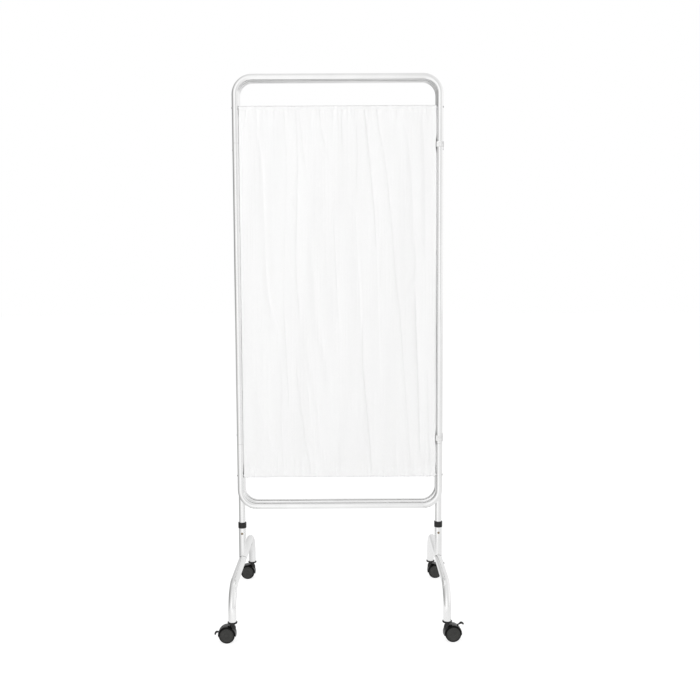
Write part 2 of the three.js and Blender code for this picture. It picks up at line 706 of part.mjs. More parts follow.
// The brake lever, drawn pressed down, with its pivot at the origin and its arm towards +X.
function brakeLever() {
  const droop = THREE.MathUtils.degToRad(LEVER_DROOP_DEG);
  const arm = new THREE.BoxGeometry(LEVER_ARM, LEVER_ARM_WIDTH, LEVER_THICKNESS);
  arm.translate(half(LEVER_ARM), 0, 0);
  const hub = bar(LEVER_THICKNESS, LEVER_ARM_WIDTH, RING_SIDES);
  const shoulderLength = LEVER_ARM - LEVER_PEDAL_START;
  const shoulder = new THREE.BoxGeometry(shoulderLength, LEVER_PEDAL_WIDTH, LEVER_THICKNESS).translate(
    LEVER_ARM - half(shoulderLength),
    0,
    0,
  );
  const elbow = bar(LEVER_THICKNESS, LEVER_PEDAL_WIDTH, RING_SIDES).translate(LEVER_ARM, 0, 0);
  const pedal = new THREE.BoxGeometry(LEVER_PEDAL, LEVER_PEDAL_WIDTH, LEVER_THICKNESS)
    .translate(half(LEVER_PEDAL), 0, 0)
    .rotateY(droop)
    .translate(LEVER_ARM, 0, 0);
  const pin = bar(LEVER_PIN_DIAMETER, LEVER_PIN_LENGTH, PIN_SIDES);
  return joined([arm, hub, shoulder, elbow, pedal, pin]);
}

// Assembly

function piece(name, geometry, look) {
  const mesh = new THREE.Mesh(geometry, look);
  mesh.name = name;
  return mesh;
}

function group(children, x, y, z, headingDeg = 0) {
  const result = new THREE.Group();
  result.position.set(x, y, z);
  result.rotation.z = THREE.MathUtils.degToRad(headingDeg);
  result.add(...children);
  return result;
}

function placed(mesh, x, y, z) {
  mesh.position.set(x, y, z);
  return mesh;
}

// The rods and the curtain of one frame.
const dressing = (name, mirrored) => [
  placed(piece(`${name}_upper_rod`, rod(), silverTube()), 0, 0, UPPER_ROD),
  placed(piece(`${name}_lower_rod`, rod(), silverTube()), 0, 0, LOWER_ROD_RISE),
  piece(`${name}_curtain`, curtain(mirrored), whiteCloth()),
];

// A wing, with the side that hinges on the centre frame towards +X.
const wing = (name) => [
  piece(`${name}_top_bow`, topBow(), silverTube()),
  piece(`${name}_bottom_bow`, bottomBow(), silverTube()),
  placed(piece(`${name}_hinge_tube`, sideTube(), silverTube()), half(TUBE_PITCH), 0, 0),
  placed(piece(`${name}_free_tube`, sideTube(), silverTube()), -half(TUBE_PITCH), 0, 0),
  ...dressing(name, false),
];

// The centre frame: a top bow on two legs, which the curtain rods tie together.
const centreFrame = () => [
  piece("centre_top_bow", topBow(), silverTube()),
  piece("centre_left_leg", leg(-1), silverTube()),
  piece("centre_right_leg", leg(1), silverTube()),
  ...dressing("centre", true),
];

// The two clips that join a wing to the centre frame, round the hinge side's tubes.
function hingeClips(name) {
  const side = half(TUBE_PITCH);
  const upper = piece(`${name}_upper_hinge_clip`, hingeClip(), palePlastic());
  const lower = piece(`${name}_lower_hinge_clip`, hingeClip(), palePlastic());
  return [
    placed(upper, side, 0, PANEL_HEIGHT - UPPER_CLIP_DROP),
    placed(lower, side, 0, LOWER_CLIP_RISE),
  ];
}

const foot = (name) => [
  piece(`${name}_foot_tube`, footTube(), silverTube()),
  piece(`${name}_socket_tube`, socketTube(), silverTube()),
  piece(`${name}_leg_collar`, collar(), blackPlastic()),
  placed(piece(`${name}_lock_screw`, lockScrew(), brightSteel()), 0, 0, LOCK_SCREW_HEIGHT),
];

function caster({ name, side, end, headingDeg, braked }) {
  const lever = placed(
    piece(`${name}_brake_lever`, brakeLever(), blackPlastic()),
    CASTER_TRAIL - LEVER_PIVOT_BACK,
    0,
    AXLE_HEIGHT + LEVER_PIVOT_RISE,
  );
  lever.rotation.y = -THREE.MathUtils.degToRad(braked ? LEVER_DOWN_DEG : LEVER_UP_DEG);
  const leftWheel = placed(
    piece(`${name}_wheel_b`, wheel(), wheelPlastic()),
    CASTER_TRAIL,
    WHEEL_INNER_FACE,
    AXLE_HEIGHT,
  );
  const rightWheel = placed(
    piece(`${name}_wheel_a`, wheel(), wheelPlastic()),
    CASTER_TRAIL,
    -WHEEL_INNER_FACE,
    AXLE_HEIGHT,
  );
  rightWheel.rotation.x = Math.PI;
  const swivel = group(
    [
      piece(`${name}_caster_body`, casterBody(), blackPlastic()),
      placed(piece(`${name}_axle`, axle(), brightSteel()), CASTER_TRAIL, 0, AXLE_HEIGHT),
      rightWheel,
      leftWheel,
      lever,
    ],
    0,
    0,
    0,
    headingDeg,
  );
  return group(
    [piece(`${name}_caster_socket`, casterSocket(), blackPlastic()), swivel],
    side * half(TUBE_PITCH),
    end * half(FOOT_LENGTH),
    0,
  );
}

const screen = new THREE.Group();
screen.add(
  group(wing("front_wing"), 0, -FRAME_PITCH, PANEL_RISE),
  group(wing("rear_wing"), 0, FRAME_PITCH, PANEL_RISE, 180),
  group(centreFrame(), 0, 0, PANEL_RISE),
  group(hingeClips("front"), 0, 0, PANEL_RISE),
  group(hingeClips("rear"), 0, 0, PANEL_RISE, 180),
  group(foot("left"), -half(TUBE_PITCH), 0, 0),
  group(foot("right"), half(TUBE_PITCH), 0, 0),
  ...CASTERS.map(caster),
);

export default screen;
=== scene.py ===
"""The visual model of a ward privacy screen on wheels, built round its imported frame.

Lengths are in metres. +Z is up, +X runs to the right along the panels, and +Y from the front to the back.
"""

from __future__ import annotations
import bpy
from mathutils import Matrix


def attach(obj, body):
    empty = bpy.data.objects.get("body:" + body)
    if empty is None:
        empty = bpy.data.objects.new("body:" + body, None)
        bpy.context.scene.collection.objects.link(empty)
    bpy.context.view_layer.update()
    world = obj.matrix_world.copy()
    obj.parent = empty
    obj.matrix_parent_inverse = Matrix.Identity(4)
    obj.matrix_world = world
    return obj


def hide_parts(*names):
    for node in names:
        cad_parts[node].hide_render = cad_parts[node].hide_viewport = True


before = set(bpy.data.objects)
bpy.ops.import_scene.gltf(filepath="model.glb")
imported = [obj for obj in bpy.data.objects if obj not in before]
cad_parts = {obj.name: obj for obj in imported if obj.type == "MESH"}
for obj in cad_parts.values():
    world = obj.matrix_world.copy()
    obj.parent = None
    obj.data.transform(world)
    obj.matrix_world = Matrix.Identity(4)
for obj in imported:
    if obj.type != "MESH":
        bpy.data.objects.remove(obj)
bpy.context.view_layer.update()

import logging
import math
from dataclasses import dataclass, field
from enum import Enum
from functools import lru_cache
from typing import Callable, Iterable, Sequence

import bpy
import numpy as np
from mathutils import Matrix, Vector

LOG = logging.getLogger("ward_screen")

X_AXIS = np.array([1.0, 0.0, 0.0])
Y_AXIS = np.array([0.0, 1.0, 0.0])
Z_AXIS = np.array([0.0, 0.0, 1.0])

# Sizes that more than one sub-assembly uses.
TUBE_SIDE = 0.334  # middle of the screen to the centre line of a side tube
FRAME_PITCH = 0.025
PANEL_BOTTOM = 0.348
PANEL_TOP = 1.788
FRAME_RADIUS = 0.011
FRAME_BORE = 0.0095
UPPER_ROD = 1.679
LOWER_ROD = 0.464
ROD_RADIUS = 0.004
FOOT_RADIUS = 0.0125
FOOT_AXIS = 0.1695
FOOT_END = 0.306
FIT_GAP = 0.0003
CLIP_HEIGHTS = (0.588, 1.559)
SIDES = 48
SAME_SPOT = 1e-7  # points that lie nearer than this are one


# Camera and studio


@dataclass(frozen=True)
class Viewpoint:
    """The camera, standing where the photograph was taken from."""

    place: tuple[float, float, float] = (0.034, -3.1767, 1.1604)
    yaw_deg: float = -0.04
    pitch_deg: float = 4.98
    roll_deg: float = 0.30
    focal_px: float = 949.8
    frame_px: float = 700.0
    sensor_mm: float = 36.0
    reach: float = 60.0

    def axes(self) -> np.ndarray:
        """Work out the camera's directions, by turning the world by the yaw, then the pitch, then the roll.

        Returns:
            A 3 x 3 array with right, up and forward as its rows.
        """
        angles = np.radians([self.yaw_deg, self.pitch_deg, self.roll_deg])
        (yaw_c, pitch_c, roll_c), (yaw_s, pitch_s, roll_s) = np.cos(angles), np.sin(angles)
        turn = np.array([[yaw_c, yaw_s, 0], [-yaw_s, yaw_c, 0], [0, 0, 1]])
        tip = np.array([[1, 0, 0], [0, pitch_s, pitch_c], [0, pitch_c, -pitch_s]])
        lean = np.array([[roll_c, -roll_s, 0], [roll_s, roll_c, 0], [0, 0, 1]])
        return lean @ tip @ turn

    def build(self) -> None:
        """Add the camera to the scene and make it the active one."""
        right, up, forward = self.axes()
        camera = bpy.data.cameras.new("camera")
        camera.sensor_width = self.sensor_mm
        camera.lens = self.focal_px * self.sensor_mm / self.frame_px
        camera.clip_end = self.reach
        holder = bpy.data.objects.new("camera", camera)
        matrix = np.eye(4)
        matrix[:3, 0], matrix[:3, 1], matrix[:3, 2], matrix[:3, 3] = right, up, -forward, self.place
        holder.matrix_world = Matrix(matrix.tolist())
        bpy.context.scene.collection.objects.link(holder)
        bpy.context.scene.camera = holder
        LOG.info("camera: lens %.2f mm", camera.lens)


@dataclass(frozen=True)
class SoftLamp:
    """A large square lamp that hangs at one place and shines on the middle of the screen."""

    name: str
    place: tuple[float, float, float]
    size: float
    level: float
    aim_height: float = 0.95

    def build(self) -> None:
        """Add the lamp. Its power lights a facing surface at its distance by this share of plain white."""
        aim = Vector((0, 0, self.aim_height)) - Vector(self.place)
        light = bpy.data.lights.new(self.name, "AREA")
        light.size = self.size
        light.energy = math.pi**2 * aim.length_squared * self.level
        holder = bpy.data.objects.new(self.name, light)
        holder.location = self.place
        holder.rotation_euler = aim.to_track_quat("-Z", "Y").to_euler()
        holder.visible_glossy = False
        bpy.context.scene.collection.objects.link(holder)


@dataclass(frozen=True)
class Studio:
    """A white floor that runs on into a white surround, with darker flats at both sides for the metal."""

    lamps: tuple[SoftLamp, ...] = (
        SoftLamp("key_lamp", (-3.9, -5.2, 3.4), 2.8, 0.40),
        SoftLamp("fill_lamp", (3.6, -3.6, 2.2), 2.4, 0.11),
        SoftLamp("back_lamp", (0.6, 2.8, 2.4), 1.6, 0.22),
    )
    room_level: float = 0.62
    floor_reach: float = 20.0
    floor_drop: float = 0.0002  # keeps the floor off the flats of the wheels
    floor_plain: float = 0.85  # the floor's colour for the light that falls on the screen
    floor_seen: float = 0.34  # its colour to the eye, which takes the shadow, with this glow on top
    floor_glow: float = 0.80
    near_floor: tuple[float, float] = (0.9, 0.2)  # distances between which the floor goes over to underfoot
    high_room: tuple[float, float] = (0.3, 1.0)  # steepness between which the room goes over to overhead
    # The brightness that metal mirrors, by bearing: degrees to the right of the way to the camera, the level
    # in the room, and the level on the floor.
    bearings: tuple[tuple[float, float, float], ...] = (
        (-180, 0.80, 0.85),
        (-140, 0.42, 0.62),
        (-105, 0.30, 0.44),
        (-80, 0.45, 0.52),
        (-55, 0.78, 0.80),
        (-35, 1.02, 0.98),
        (-20, 1.10, 1.08),
        (-5, 1.06, 1.04),
        (10, 0.82, 0.94),
        (26, 0.78, 0.88),
        (42, 0.84, 0.86),
        (62, 0.92, 0.84),
        (88, 1.02, 0.84),
        (130, 0.98, 0.86),
        (180, 0.80, 0.88),
    )
    # What it mirrors straight above and straight below.
    overhead: float = 0.84
    underfoot: float = 0.90

    def build(self) -> None:
        """Build the floor, the surround and the lamps."""
        self.build_floor()
        self.build_surround()
        for lamp in self.lamps:
            lamp.build()
        bpy.context.scene.view_settings.view_transform = "Standard"
        LOG.info("studio: %d lamps", len(self.lamps))

    def build_floor(self) -> None:
        """Lay a flat floor that is nearly white to the eye and to metal, and keeps the screen's shadow."""
        reach = np.linspace(-self.floor_reach, self.floor_reach, 5)
        x, y = np.meshgrid(reach, reach)
        sheet = np.stack([x, y, np.full_like(x, -self.floor_drop)], -1)
        mesh = mesh_of("floor", grid(sheet, Ends.OPEN, False))
        floor = bpy.data.objects.new("floor", mesh)
        bpy.context.scene.collection.objects.link(floor)
        tree = Tree("floor_white")
        rays = tree.add("ShaderNodeLightPath")
        mirrored = tree.most(rays.outputs["Is Glossy Ray"], rays.outputs["Is Transmission Ray"])
        x, y, _ = tree.add("ShaderNodeSeparateXYZ", {0: tree.coordinates("Object")}).outputs
        distance = tree.math("SQRT", tree.math("MULTIPLY_ADD", x, x, tree.math("MULTIPLY", y, y)))
        near = tree.ranged(distance, self.near_floor, (0, 1))
        level = self.mirrored(tree, x, y, near, 2, self.underfoot)
        image = tree.add("ShaderNodeEmission", {"Strength": level})
        plain = tree.add("ShaderNodeBsdfDiffuse", {"Color": grey(self.floor_plain)})
        matt = tree.add("ShaderNodeBsdfDiffuse", {"Color": grey(self.floor_seen)})
        glow = tree.add("ShaderNodeEmission", {"Strength": self.floor_glow})
        bright = tree.add("ShaderNodeAddShader", {0: matt.outputs[0], 1: glow.outputs[0]})
        seen = rays.outputs["Is Camera Ray"]
        mix = tree.add("ShaderNodeMixShader", {0: seen, 1: plain.outputs[0], 2: bright.outputs[0]})
        mix = tree.add("ShaderNodeMixShader", {0: mirrored, 1: mix.outputs[0], 2: image.outputs[0]})
        tree.links.new(mix.outputs[0], tree.output.inputs["Surface"])
        mesh.materials.append(tree.material)

    def mirrored(
        self,
        tree: Tree,
        x: bpy.types.NodeSocket,
        y: bpy.types.NodeSocket,
        steep: bpy.types.NodeSocket,
        column: int,
        end: float,
    ) -> bpy.types.NodeSocket:
        """Work out how bright the room looks in metal, on the way to one place.

        The bearing is atan2(x, -y), and the level that belongs to it goes over to one level for all bearings
        where the way is steep.

        Args:
            tree: The nodes to add to.
            x: How far the place lies along the panels.
            y: How far it lies towards the back.
            steep: 0 for a level way, and 1 for one straight up or down.
            column: 1 for the room's levels, and 2 for the floor's.
            end: The level straight up or down.

        Returns:
            The level.
        """
        toward = tree.math("MULTIPLY", y, -1.0)
        turn = tree.math("MULTIPLY_ADD", tree.math("ARCTAN2", x, toward), 0.5 / math.pi, 0.5)
        ramp = tree.add("ShaderNodeValToRGB", {0: turn})
        ramp.color_ramp.interpolation = "EASE"
        elements = ramp.color_ramp.elements
        for row in self.bearings[1:-1]:
            elements.new(row[0] / 360 + 0.5)
        for element, row in zip(elements, self.bearings):
            element.color = grey(row[column])
        mix = tree.add("ShaderNodeMix", {0: steep, 2: ramp.outputs["Color"]}, data_type="FLOAT")
        mix.inputs[3].default_value = end
        return mix.outputs[0]

    def build_surround(self) -> None:
        """Light the room: white to the camera, plain grey to matt surfaces, and shaded to metal and glass."""
        world = bpy.data.worlds.new("surround")
        world.use_nodes = True
        bpy.context.scene.world = world
        tree = Tree.of(world.node_tree)
        background = next(n for n in tree.nodes if n.type == "BACKGROUND")
        way = tree.add("ShaderNodeTexCoord").outputs["Generated"]
        x, y, z = tree.add("ShaderNodeSeparateXYZ", {0: way}).outputs
        image = self.mirrored(tree, x, y, tree.ranged(z, self.high_room, (0, 1)), 1, self.overhead)
        rays = tree.add("ShaderNodeLightPath")
        mirrored = tree.most(rays.outputs["Is Glossy Ray"], rays.outputs["Is Transmission Ray"])
        mix = tree.add("ShaderNodeMix", {0: mirrored, 3: image}, data_type="FLOAT")
        mix.inputs[2].default_value = self.room_level
        level = tree.most(mix.outputs[0], rays.outputs["Is Camera Ray"])
        tree.links.new(level, background.inputs["Strength"])
        background.inputs["Color"].default_value = grey(1)


# Materials


def grey(level: float) -> tuple[float, float, float, float]:
    """Return a plain grey of this level."""
    return (level, level, level, 1)


class Tree:
    """A material's nodes, added one after another."""

    def __init__(self, name: str) -> None:
        """Start a material with nothing but its shader and output."""
        self.material = bpy.data.materials.new(name)
        self.material.use_nodes = True
        self.nodes = self.material.node_tree.nodes
        self.links = self.material.node_tree.links
        self.shader = next(n for n in self.nodes if n.type == "BSDF_PRINCIPLED")
        self.output = next(n for n in self.nodes if n.type == "OUTPUT_MATERIAL")

    @classmethod
    def of(cls, node_tree: bpy.types.NodeTree) -> Tree:
        """Wrap nodes that are there already, such as the world's."""
        tree = cls.__new__(cls)
        tree.nodes, tree.links = node_tree.nodes, node_tree.links
        return tree

    def add(self, kind: str, inputs: dict | None = None, **settings: object) -> bpy.types.Node:
        """Add a node.

        Args:
            kind: The node's type name.
            inputs: Values, or sockets to link, by the input's name or number.
            settings: Properties of the node itself.

        Returns:
            The new node.
        """
        node = self.nodes.new(kind)
        for name, value in settings.items():
            setattr(node, name, value)
        for name, value in (inputs or {}).items():
            if isinstance(value, bpy.types.NodeSocket):
                self.links.new(value, node.inputs[name])
            else:
                node.inputs[name].default_value = value
        return node

    def math(self, operation: str, *values: bpy.types.NodeSocket | float) -> bpy.types.NodeSocket:
        """Add a sum or other operation on values or sockets, and return its result."""
        return self.add("ShaderNodeMath", dict(enumerate(values)), operation=operation).outputs[0]

    def most(self, a: bpy.types.NodeSocket, b: bpy.types.NodeSocket) -> bpy.types.NodeSocket:
        """Return the larger of two values."""
        return self.math("MAXIMUM", a, b)

    def coordinates(self, kind: str, scale: Sequence[float] = (1, 1, 1)) -> bpy.types.NodeSocket:
        """Return the piece's Object or UV coordinates, stretched by a factor for each axis."""
        source = self.add("ShaderNodeTexCoord").outputs[kind]
        return self.add("ShaderNodeMapping", {"Vector": source, "Scale": scale}).outputs["Vector"]

    def noise(self, vector: bpy.types.NodeSocket, scale: float, detail: float) -> bpy.types.NodeSocket:
        """Add a noise pattern and return its value."""
        return self.add("ShaderNodeTexNoise", {"Vector": vector, "Scale": scale, "Detail": detail}).outputs[0]

    def ranged(
        self,
        source: bpy.types.NodeSocket,
        old: tuple[float, float],
        new: tuple[float, float],
    ) -> bpy.types.NodeSocket:
        """Turn the values between the old ends into values between the new ones."""
        inputs = {"Value": source, "From Min": old[0], "From Max": old[1], "To Min": new[0], "To Max": new[1]}
        return self.add("ShaderNodeMapRange", inputs).outputs["Result"]

    def spread(self, source: bpy.types.NodeSocket, low: float, high: float) -> bpy.types.NodeSocket:
        """Spread the middle half of a pattern over the values from low to high."""
        return self.ranged(source, (0.25, 0.75), (low, high))

    def tint(self, share: bpy.types.NodeSocket, dark: Sequence[float], light: Sequence[float]) -> None:
        """Let the base colour go from dark to light with a pattern."""
        mix = self.add("ShaderNodeMix", data_type="RGBA")
        self.links.new(self.spread(share, 0, 1), mix.inputs[0])
        mix.inputs[6].default_value = (*dark, 1)
        mix.inputs[7].default_value = (*light, 1)
        self.links.new(mix.outputs[2], self.shader.inputs["Base Color"])

    def gloss(self, share: bpy.types.NodeSocket, low: float, high: float) -> None:
        """Let the roughness go from low to high with a pattern."""
        self.links.new(self.spread(share, low, high), self.shader.inputs["Roughness"])

    def bump(self, height: bpy.types.NodeSocket, depth: float) -> None:
        """Give the shader a bump of this depth."""
        bump = self.add("ShaderNodeBump", {"Height": height, "Distance": depth, "Strength": 1.0})
        self.links.new(bump.outputs["Normal"], self.shader.inputs["Normal"])

    def set(self, **values: float) -> None:
        """Set constants on the shader's own sockets, named with underscores for spaces."""
        for name, value in values.items():
            self.shader.inputs[name.replace("_", " ")].default_value = value


Colour = tuple[float, float, float]


@dataclass(frozen=True)
class PolishedTube:
    """Drawn and polished tube, with faint lines along it and soft smears."""

    name: str = "polished_tube"
    slot: str = "tube_steel"
    dark: Colour = (0.89, 0.89, 0.888)
    light: Colour = (0.96, 0.96, 0.958)
    roughness: tuple[float, float] = (0.09, 0.16)
    line_scale: tuple[float, float, float] = (900.0, 9.0, 1.0)
    smear_scale: float = 14.0
    line_depth: float = 0.0000015

    def material(self) -> bpy.types.Material:
        """Build the material: smears in the colour and gloss, lines in the gloss and bump."""
        tree = Tree(self.name)
        lines = tree.noise(tree.coordinates("UV", self.line_scale), 1.0, 3.0)
        smears = tree.noise(tree.coordinates("Object"), self.smear_scale, 4.0)
        tree.tint(smears, self.dark, self.light)
        tree.gloss(tree.math("MULTIPLY_ADD", lines, 0.4, tree.math("MULTIPLY", smears, 0.6)), *self.roughness)
        tree.bump(lines, self.line_depth)
        tree.set(Metallic=1.0)
        return tree.material


@dataclass(frozen=True)
class PlatedSteel:
    """Plated steel of small fixings, slightly blotched."""

    name: str
    dark: Colour
    light: Colour
    slot: str = "screw_steel"
    roughness: tuple[float, float] = (0.28, 0.45)
    blotch_scale: float = 420.0
    blotch_depth: float = 0.00004

    def material(self) -> bpy.types.Material:
        """Build the material: blotches in the colour, gloss and bump."""
        tree = Tree(self.name)
        blotches = tree.noise(tree.coordinates("Object"), self.blotch_scale, 3.0)
        tree.tint(blotches, self.dark, self.light)
        tree.gloss(blotches, *self.roughness)
        tree.bump(blotches, self.blotch_depth)
        tree.set(Metallic=1.0)
        return tree.material


@dataclass(frozen=True)
class MouldedPlastic:
    """Moulded plastic with a fine grain and a cloudy gloss."""

    name: str
    slot: str
    dark: Colour
    light: Colour
    roughness: tuple[float, float] = (0.34, 0.48)
    specular: float = 0.5
    grain_scale: float = 2600.0
    cloud_scale: float = 60.0
    grain_depth: float = 0.00003

    def material(self) -> bpy.types.Material:
        """Build the material: clouds in the colour and gloss, grain in the bump."""
        tree = Tree(self.name)
        clouds = tree.noise(tree.coordinates("Object"), self.cloud_scale, 3.0)
        tree.tint(clouds, self.dark, self.light)
        tree.gloss(clouds, *self.roughness)
        tree.bump(tree.noise(tree.coordinates("Object"), self.grain_scale, 2.0), self.grain_depth)
        tree.set(Specular_IOR_Level=self.specular)
        return tree.material


@dataclass(frozen=True)
class CottonCloth:
    """Plain white cotton: a woven thread pattern, slubs, and faint creases that run down the cloth."""

    name: str = "white_cotton"
    slot: str = "curtain_cloth"
    dark: Colour = (0.885, 0.885, 0.884)
    light: Colour = (0.915, 0.915, 0.914)
    thread: float = 0.0008
    slub_scale: tuple[float, float, float] = (1300.0, 110.0, 1.0)
    crease_scale: tuple[float, float, float] = (110.0, 3.0, 1.0)
    weave_depth: float = 0.00004
    crease_depth: float = 0.0009

    def material(self) -> bpy.types.Material:
        """Build the material.

        The weave is the product of two sine bands, one along each direction of the cloth, so that its crests
        lie where the threads cross. Slubs tint the cloth, and the creases and the weave add up in the bump.
        """
        tree = Tree(self.name)
        across, down, _ = tree.add("ShaderNodeSeparateXYZ", {0: tree.coordinates("UV")}).outputs
        turns = 2 * math.pi / self.thread
        bands = [tree.math("SINE", tree.math("MULTIPLY", way, turns)) for way in (across, down)]
        weave = tree.math("MULTIPLY", bands[0], bands[1])
        slubs = tree.noise(tree.coordinates("UV", self.slub_scale), 1.0, 3.0)
        creases = tree.noise(tree.coordinates("UV", self.crease_scale), 1.0, 4.0)
        tree.tint(slubs, self.dark, self.light)
        height = tree.math("MULTIPLY_ADD", weave, self.weave_depth / self.crease_depth, creases)
        tree.bump(height, self.crease_depth)
        tree.set(Roughness=0.9, Sheen_Weight=0.1, Sheen_Roughness=0.6)
        return tree.material


@dataclass(frozen=True)
class SewingThread:
    """White sewing thread with its twist."""

    name: str = "sewing_thread"
    slot: str = "curtain_cloth"
    dark: Colour = (0.90, 0.90, 0.898)
    light: Colour = (0.95, 0.95, 0.948)
    twist_scale: float = 5000.0
    twist_depth: float = 0.00005

    def material(self) -> bpy.types.Material:
        """Build the material: a fine twist in the colour and bump."""
        tree = Tree(self.name)
        twist = tree.noise(tree.coordinates("Object"), self.twist_scale, 1.0)
        tree.tint(twist, self.dark, self.light)
        tree.bump(twist, self.twist_depth)
        tree.set(Roughness=0.7)
        return tree.material


Finish = PolishedTube | PlatedSteel | MouldedPlastic | CottonCloth | SewingThread

STEEL = PolishedTube()
SCREW = PlatedSteel("dull_plated_screw", (0.26, 0.21, 0.15), (0.42, 0.34, 0.25))
RIVET = PlatedSteel("bright_rivet", (0.42, 0.42, 0.42), (0.58, 0.58, 0.58))
CLOTH = CottonCloth()
THREAD = SewingThread()
BLACK = MouldedPlastic(
    "black_plastic", "black_plastic", (0.003, 0.003, 0.003), (0.007, 0.0065, 0.006), roughness=(0.2, 0.32)
)
WHEEL = MouldedPlastic(
    "wheel_grey", "wheel_plastic", (0.026, 0.026, 0.0245), (0.042, 0.042, 0.0395), (0.36, 0.5), specular=0.35
)
TYRE = MouldedPlastic(
    "tyre_black", "wheel_plastic", (0.004, 0.004, 0.004), (0.008, 0.008, 0.008), (0.5, 0.65), specular=0.12
)
PALE = MouldedPlastic(
    "pale_plastic", "clip_plastic", (0.76, 0.76, 0.755), (0.86, 0.86, 0.855), roughness=(0.35, 0.5)
)


@lru_cache(maxsize=None)
def material_of(finish: Finish) -> bpy.types.Material:
    """Return the finish's material, made the first time that it is asked for."""
    return finish.material()


# Surfaces


class Ends(Enum):
    """How the first and last rows of a grid of points are closed."""

    LOOP = "the last row joins the first"
    POLES = "each end row closes on its own middle"
    OPEN = "the edges stay open"


@dataclass(frozen=True)
class Shell:
    """A surface: its points, its four-sided and three-sided faces, and the faces' corners in metres."""

    points: np.ndarray
    quads: np.ndarray
    fans: np.ndarray
    quad_uv: np.ndarray
    fan_uv: np.ndarray

    def volume(self) -> float:
        """Add up the signed volumes between the origin and each triangle."""
        triangles = np.vstack([self.quads[:, :3], self.quads[:, [0, 2, 3]], self.fans])
        a, b, c = self.points[triangles].transpose(1, 0, 2)
        return float(np.einsum("ij,ij->i", a, np.cross(b, c)).sum())

    def flipped(self) -> Shell:
        """Return the same surface facing the other way."""
        faces = self.quads[:, ::-1], self.fans[:, ::-1]
        return Shell(self.points, *faces, self.quad_uv[:, ::-1], self.fan_uv[:, ::-1])


def arc_lengths(points: np.ndarray, axis: int) -> np.ndarray:
    """Measure a grid along one direction.

    Args:
        points: The grid, with its first row or column repeated at the end where it closes.
        axis: 0 to measure down the rows and 1 to measure across the columns.

    Returns:
        The distance from the first row or column to each, as a mean over the other direction.
    """
    step = np.linalg.norm(np.diff(points, axis=axis), axis=2).mean(axis=1 - axis)
    return np.concatenate([[0.0], np.cumsum(step)])


def grid(points: np.ndarray, ends: Ends, closed_columns: bool = True) -> Shell:
    """Join a grid of points into a surface. The corners' UV is their distance down and across the grid.

    Args:
        points: Rows and columns of points.
        ends: How the first and last rows are closed.
        closed_columns: Whether the last column joins the first.

    Returns:
        The surface, facing outwards where it is closed.
    """
    rows, columns = points.shape[:2]
    loop, wrap = int(ends is Ends.LOOP), int(closed_columns)
    row, column = np.meshgrid(np.arange(rows - 1 + loop), np.arange(columns - 1 + wrap), indexing="ij")
    down = np.stack([row, row, row + 1, row + 1], -1).reshape(-1, 4)
    over = np.stack([column, column + 1, column + 1, column], -1).reshape(-1, 4)
    wrapped = np.pad(points, ((0, loop), (0, wrap), (0, 0)), mode="wrap")
    length, breadth = arc_lengths(wrapped, 0), arc_lengths(wrapped, 1)
    spots = points.reshape(-1, 3)
    fans, fan_uv = np.empty((0, 3), int), np.empty((0, 3, 2))
    if ends is Ends.POLES:
        ring = np.arange(columns)
        after, last, pole = (ring + 1) % columns, (rows - 1) * columns, np.full(columns, rows * columns)
        fan = np.stack([pole, after, ring], 1)
        fans = np.vstack([fan, np.stack([pole + 1, last + ring, last + after], 1)])
        spots = np.vstack([spots, points[0].mean(0), points[-1].mean(0)])
        level = np.repeat(length[[0, -1]], columns)[:, None]
        fan_uv = np.stack([np.tile(breadth[ring], 2)[:, None] + [0, 0.001, 0], level + [0.001, 0, 0]], -1)
    quads = down % rows * columns + over % columns
    shell = Shell(spots, quads, fans, np.stack([breadth[over], length[down]], -1), fan_uv)
    closed = closed_columns and ends is not Ends.OPEN
    return shell.flipped() if closed and shell.volume() < 0 else shell


def merged(shells: Sequence[Shell]) -> Shell:
    """Put several surfaces into one."""
    starts = np.cumsum([0] + [len(shell.points) for shell in shells[:-1]])
    return Shell(
        np.vstack([s.points for s in shells]),
        np.vstack([s.quads + start for s, start in zip(shells, starts)]),
        np.vstack([s.fans + start for s, start in zip(shells, starts)]),
        np.vstack([s.quad_uv for s in shells]),
        np.vstack([s.fan_uv for s in shells]),
    )


def copies(shell: Shell, places: np.ndarray, axes: np.ndarray | None = None) -> Shell:
    """Repeat a small surface at many places.

    A copy's point is place + x u + y v + z axis, with u and v at right angles to the axis.

    Args:
        shell: The surface, drawn round the Z axis at the origin.
        places: One place a row.
        axes: The direction of each copy's Z axis, or None to keep it upright.

    Returns:
        One surface with all the copies.
    """
    count = len(places)
    if axes is None:
        spots = places[:, None] + shell.points
    else:
        u = np.cross(np.broadcast_to(Z_AXIS, axes.shape), axes)
        u /= np.linalg.norm(u, axis=1)[:, None]
        basis = np.stack([u, np.cross(axes, u), axes], 1)
        spots = places[:, None] + np.einsum("pi,kij->kpj", shell.points, basis)
    shift = np.arange(count)[:, None, None] * len(shell.points)
    return Shell(
        spots.reshape(-1, 3),
        (shell.quads + shift).reshape(-1, 4),
        (shell.fans + shift).reshape(-1, 3),
        np.tile(shell.quad_uv, (count, 1, 1)),
        np.tile(shell.fan_uv, (count, 1, 1)),
    )


def mesh_of(name: str, shell: Shell, sharp_deg: float = 35.0) -> bpy.types.Mesh:
    """Make a mesh of a surface, shaded smooth apart from the edges that turn by more than an angle."""
    mesh = bpy.data.meshes.new(name)
    mesh.from_pydata(shell.points.tolist(), [], shell.quads.tolist() + shell.fans.tolist())
    uv = np.concatenate([shell.quad_uv.reshape(-1), shell.fan_uv.reshape(-1)])
    mesh.uv_layers.new(name="metres").data.foreach_set("uv", uv.astype(np.float32))
    return smoothed(mesh, sharp_deg)


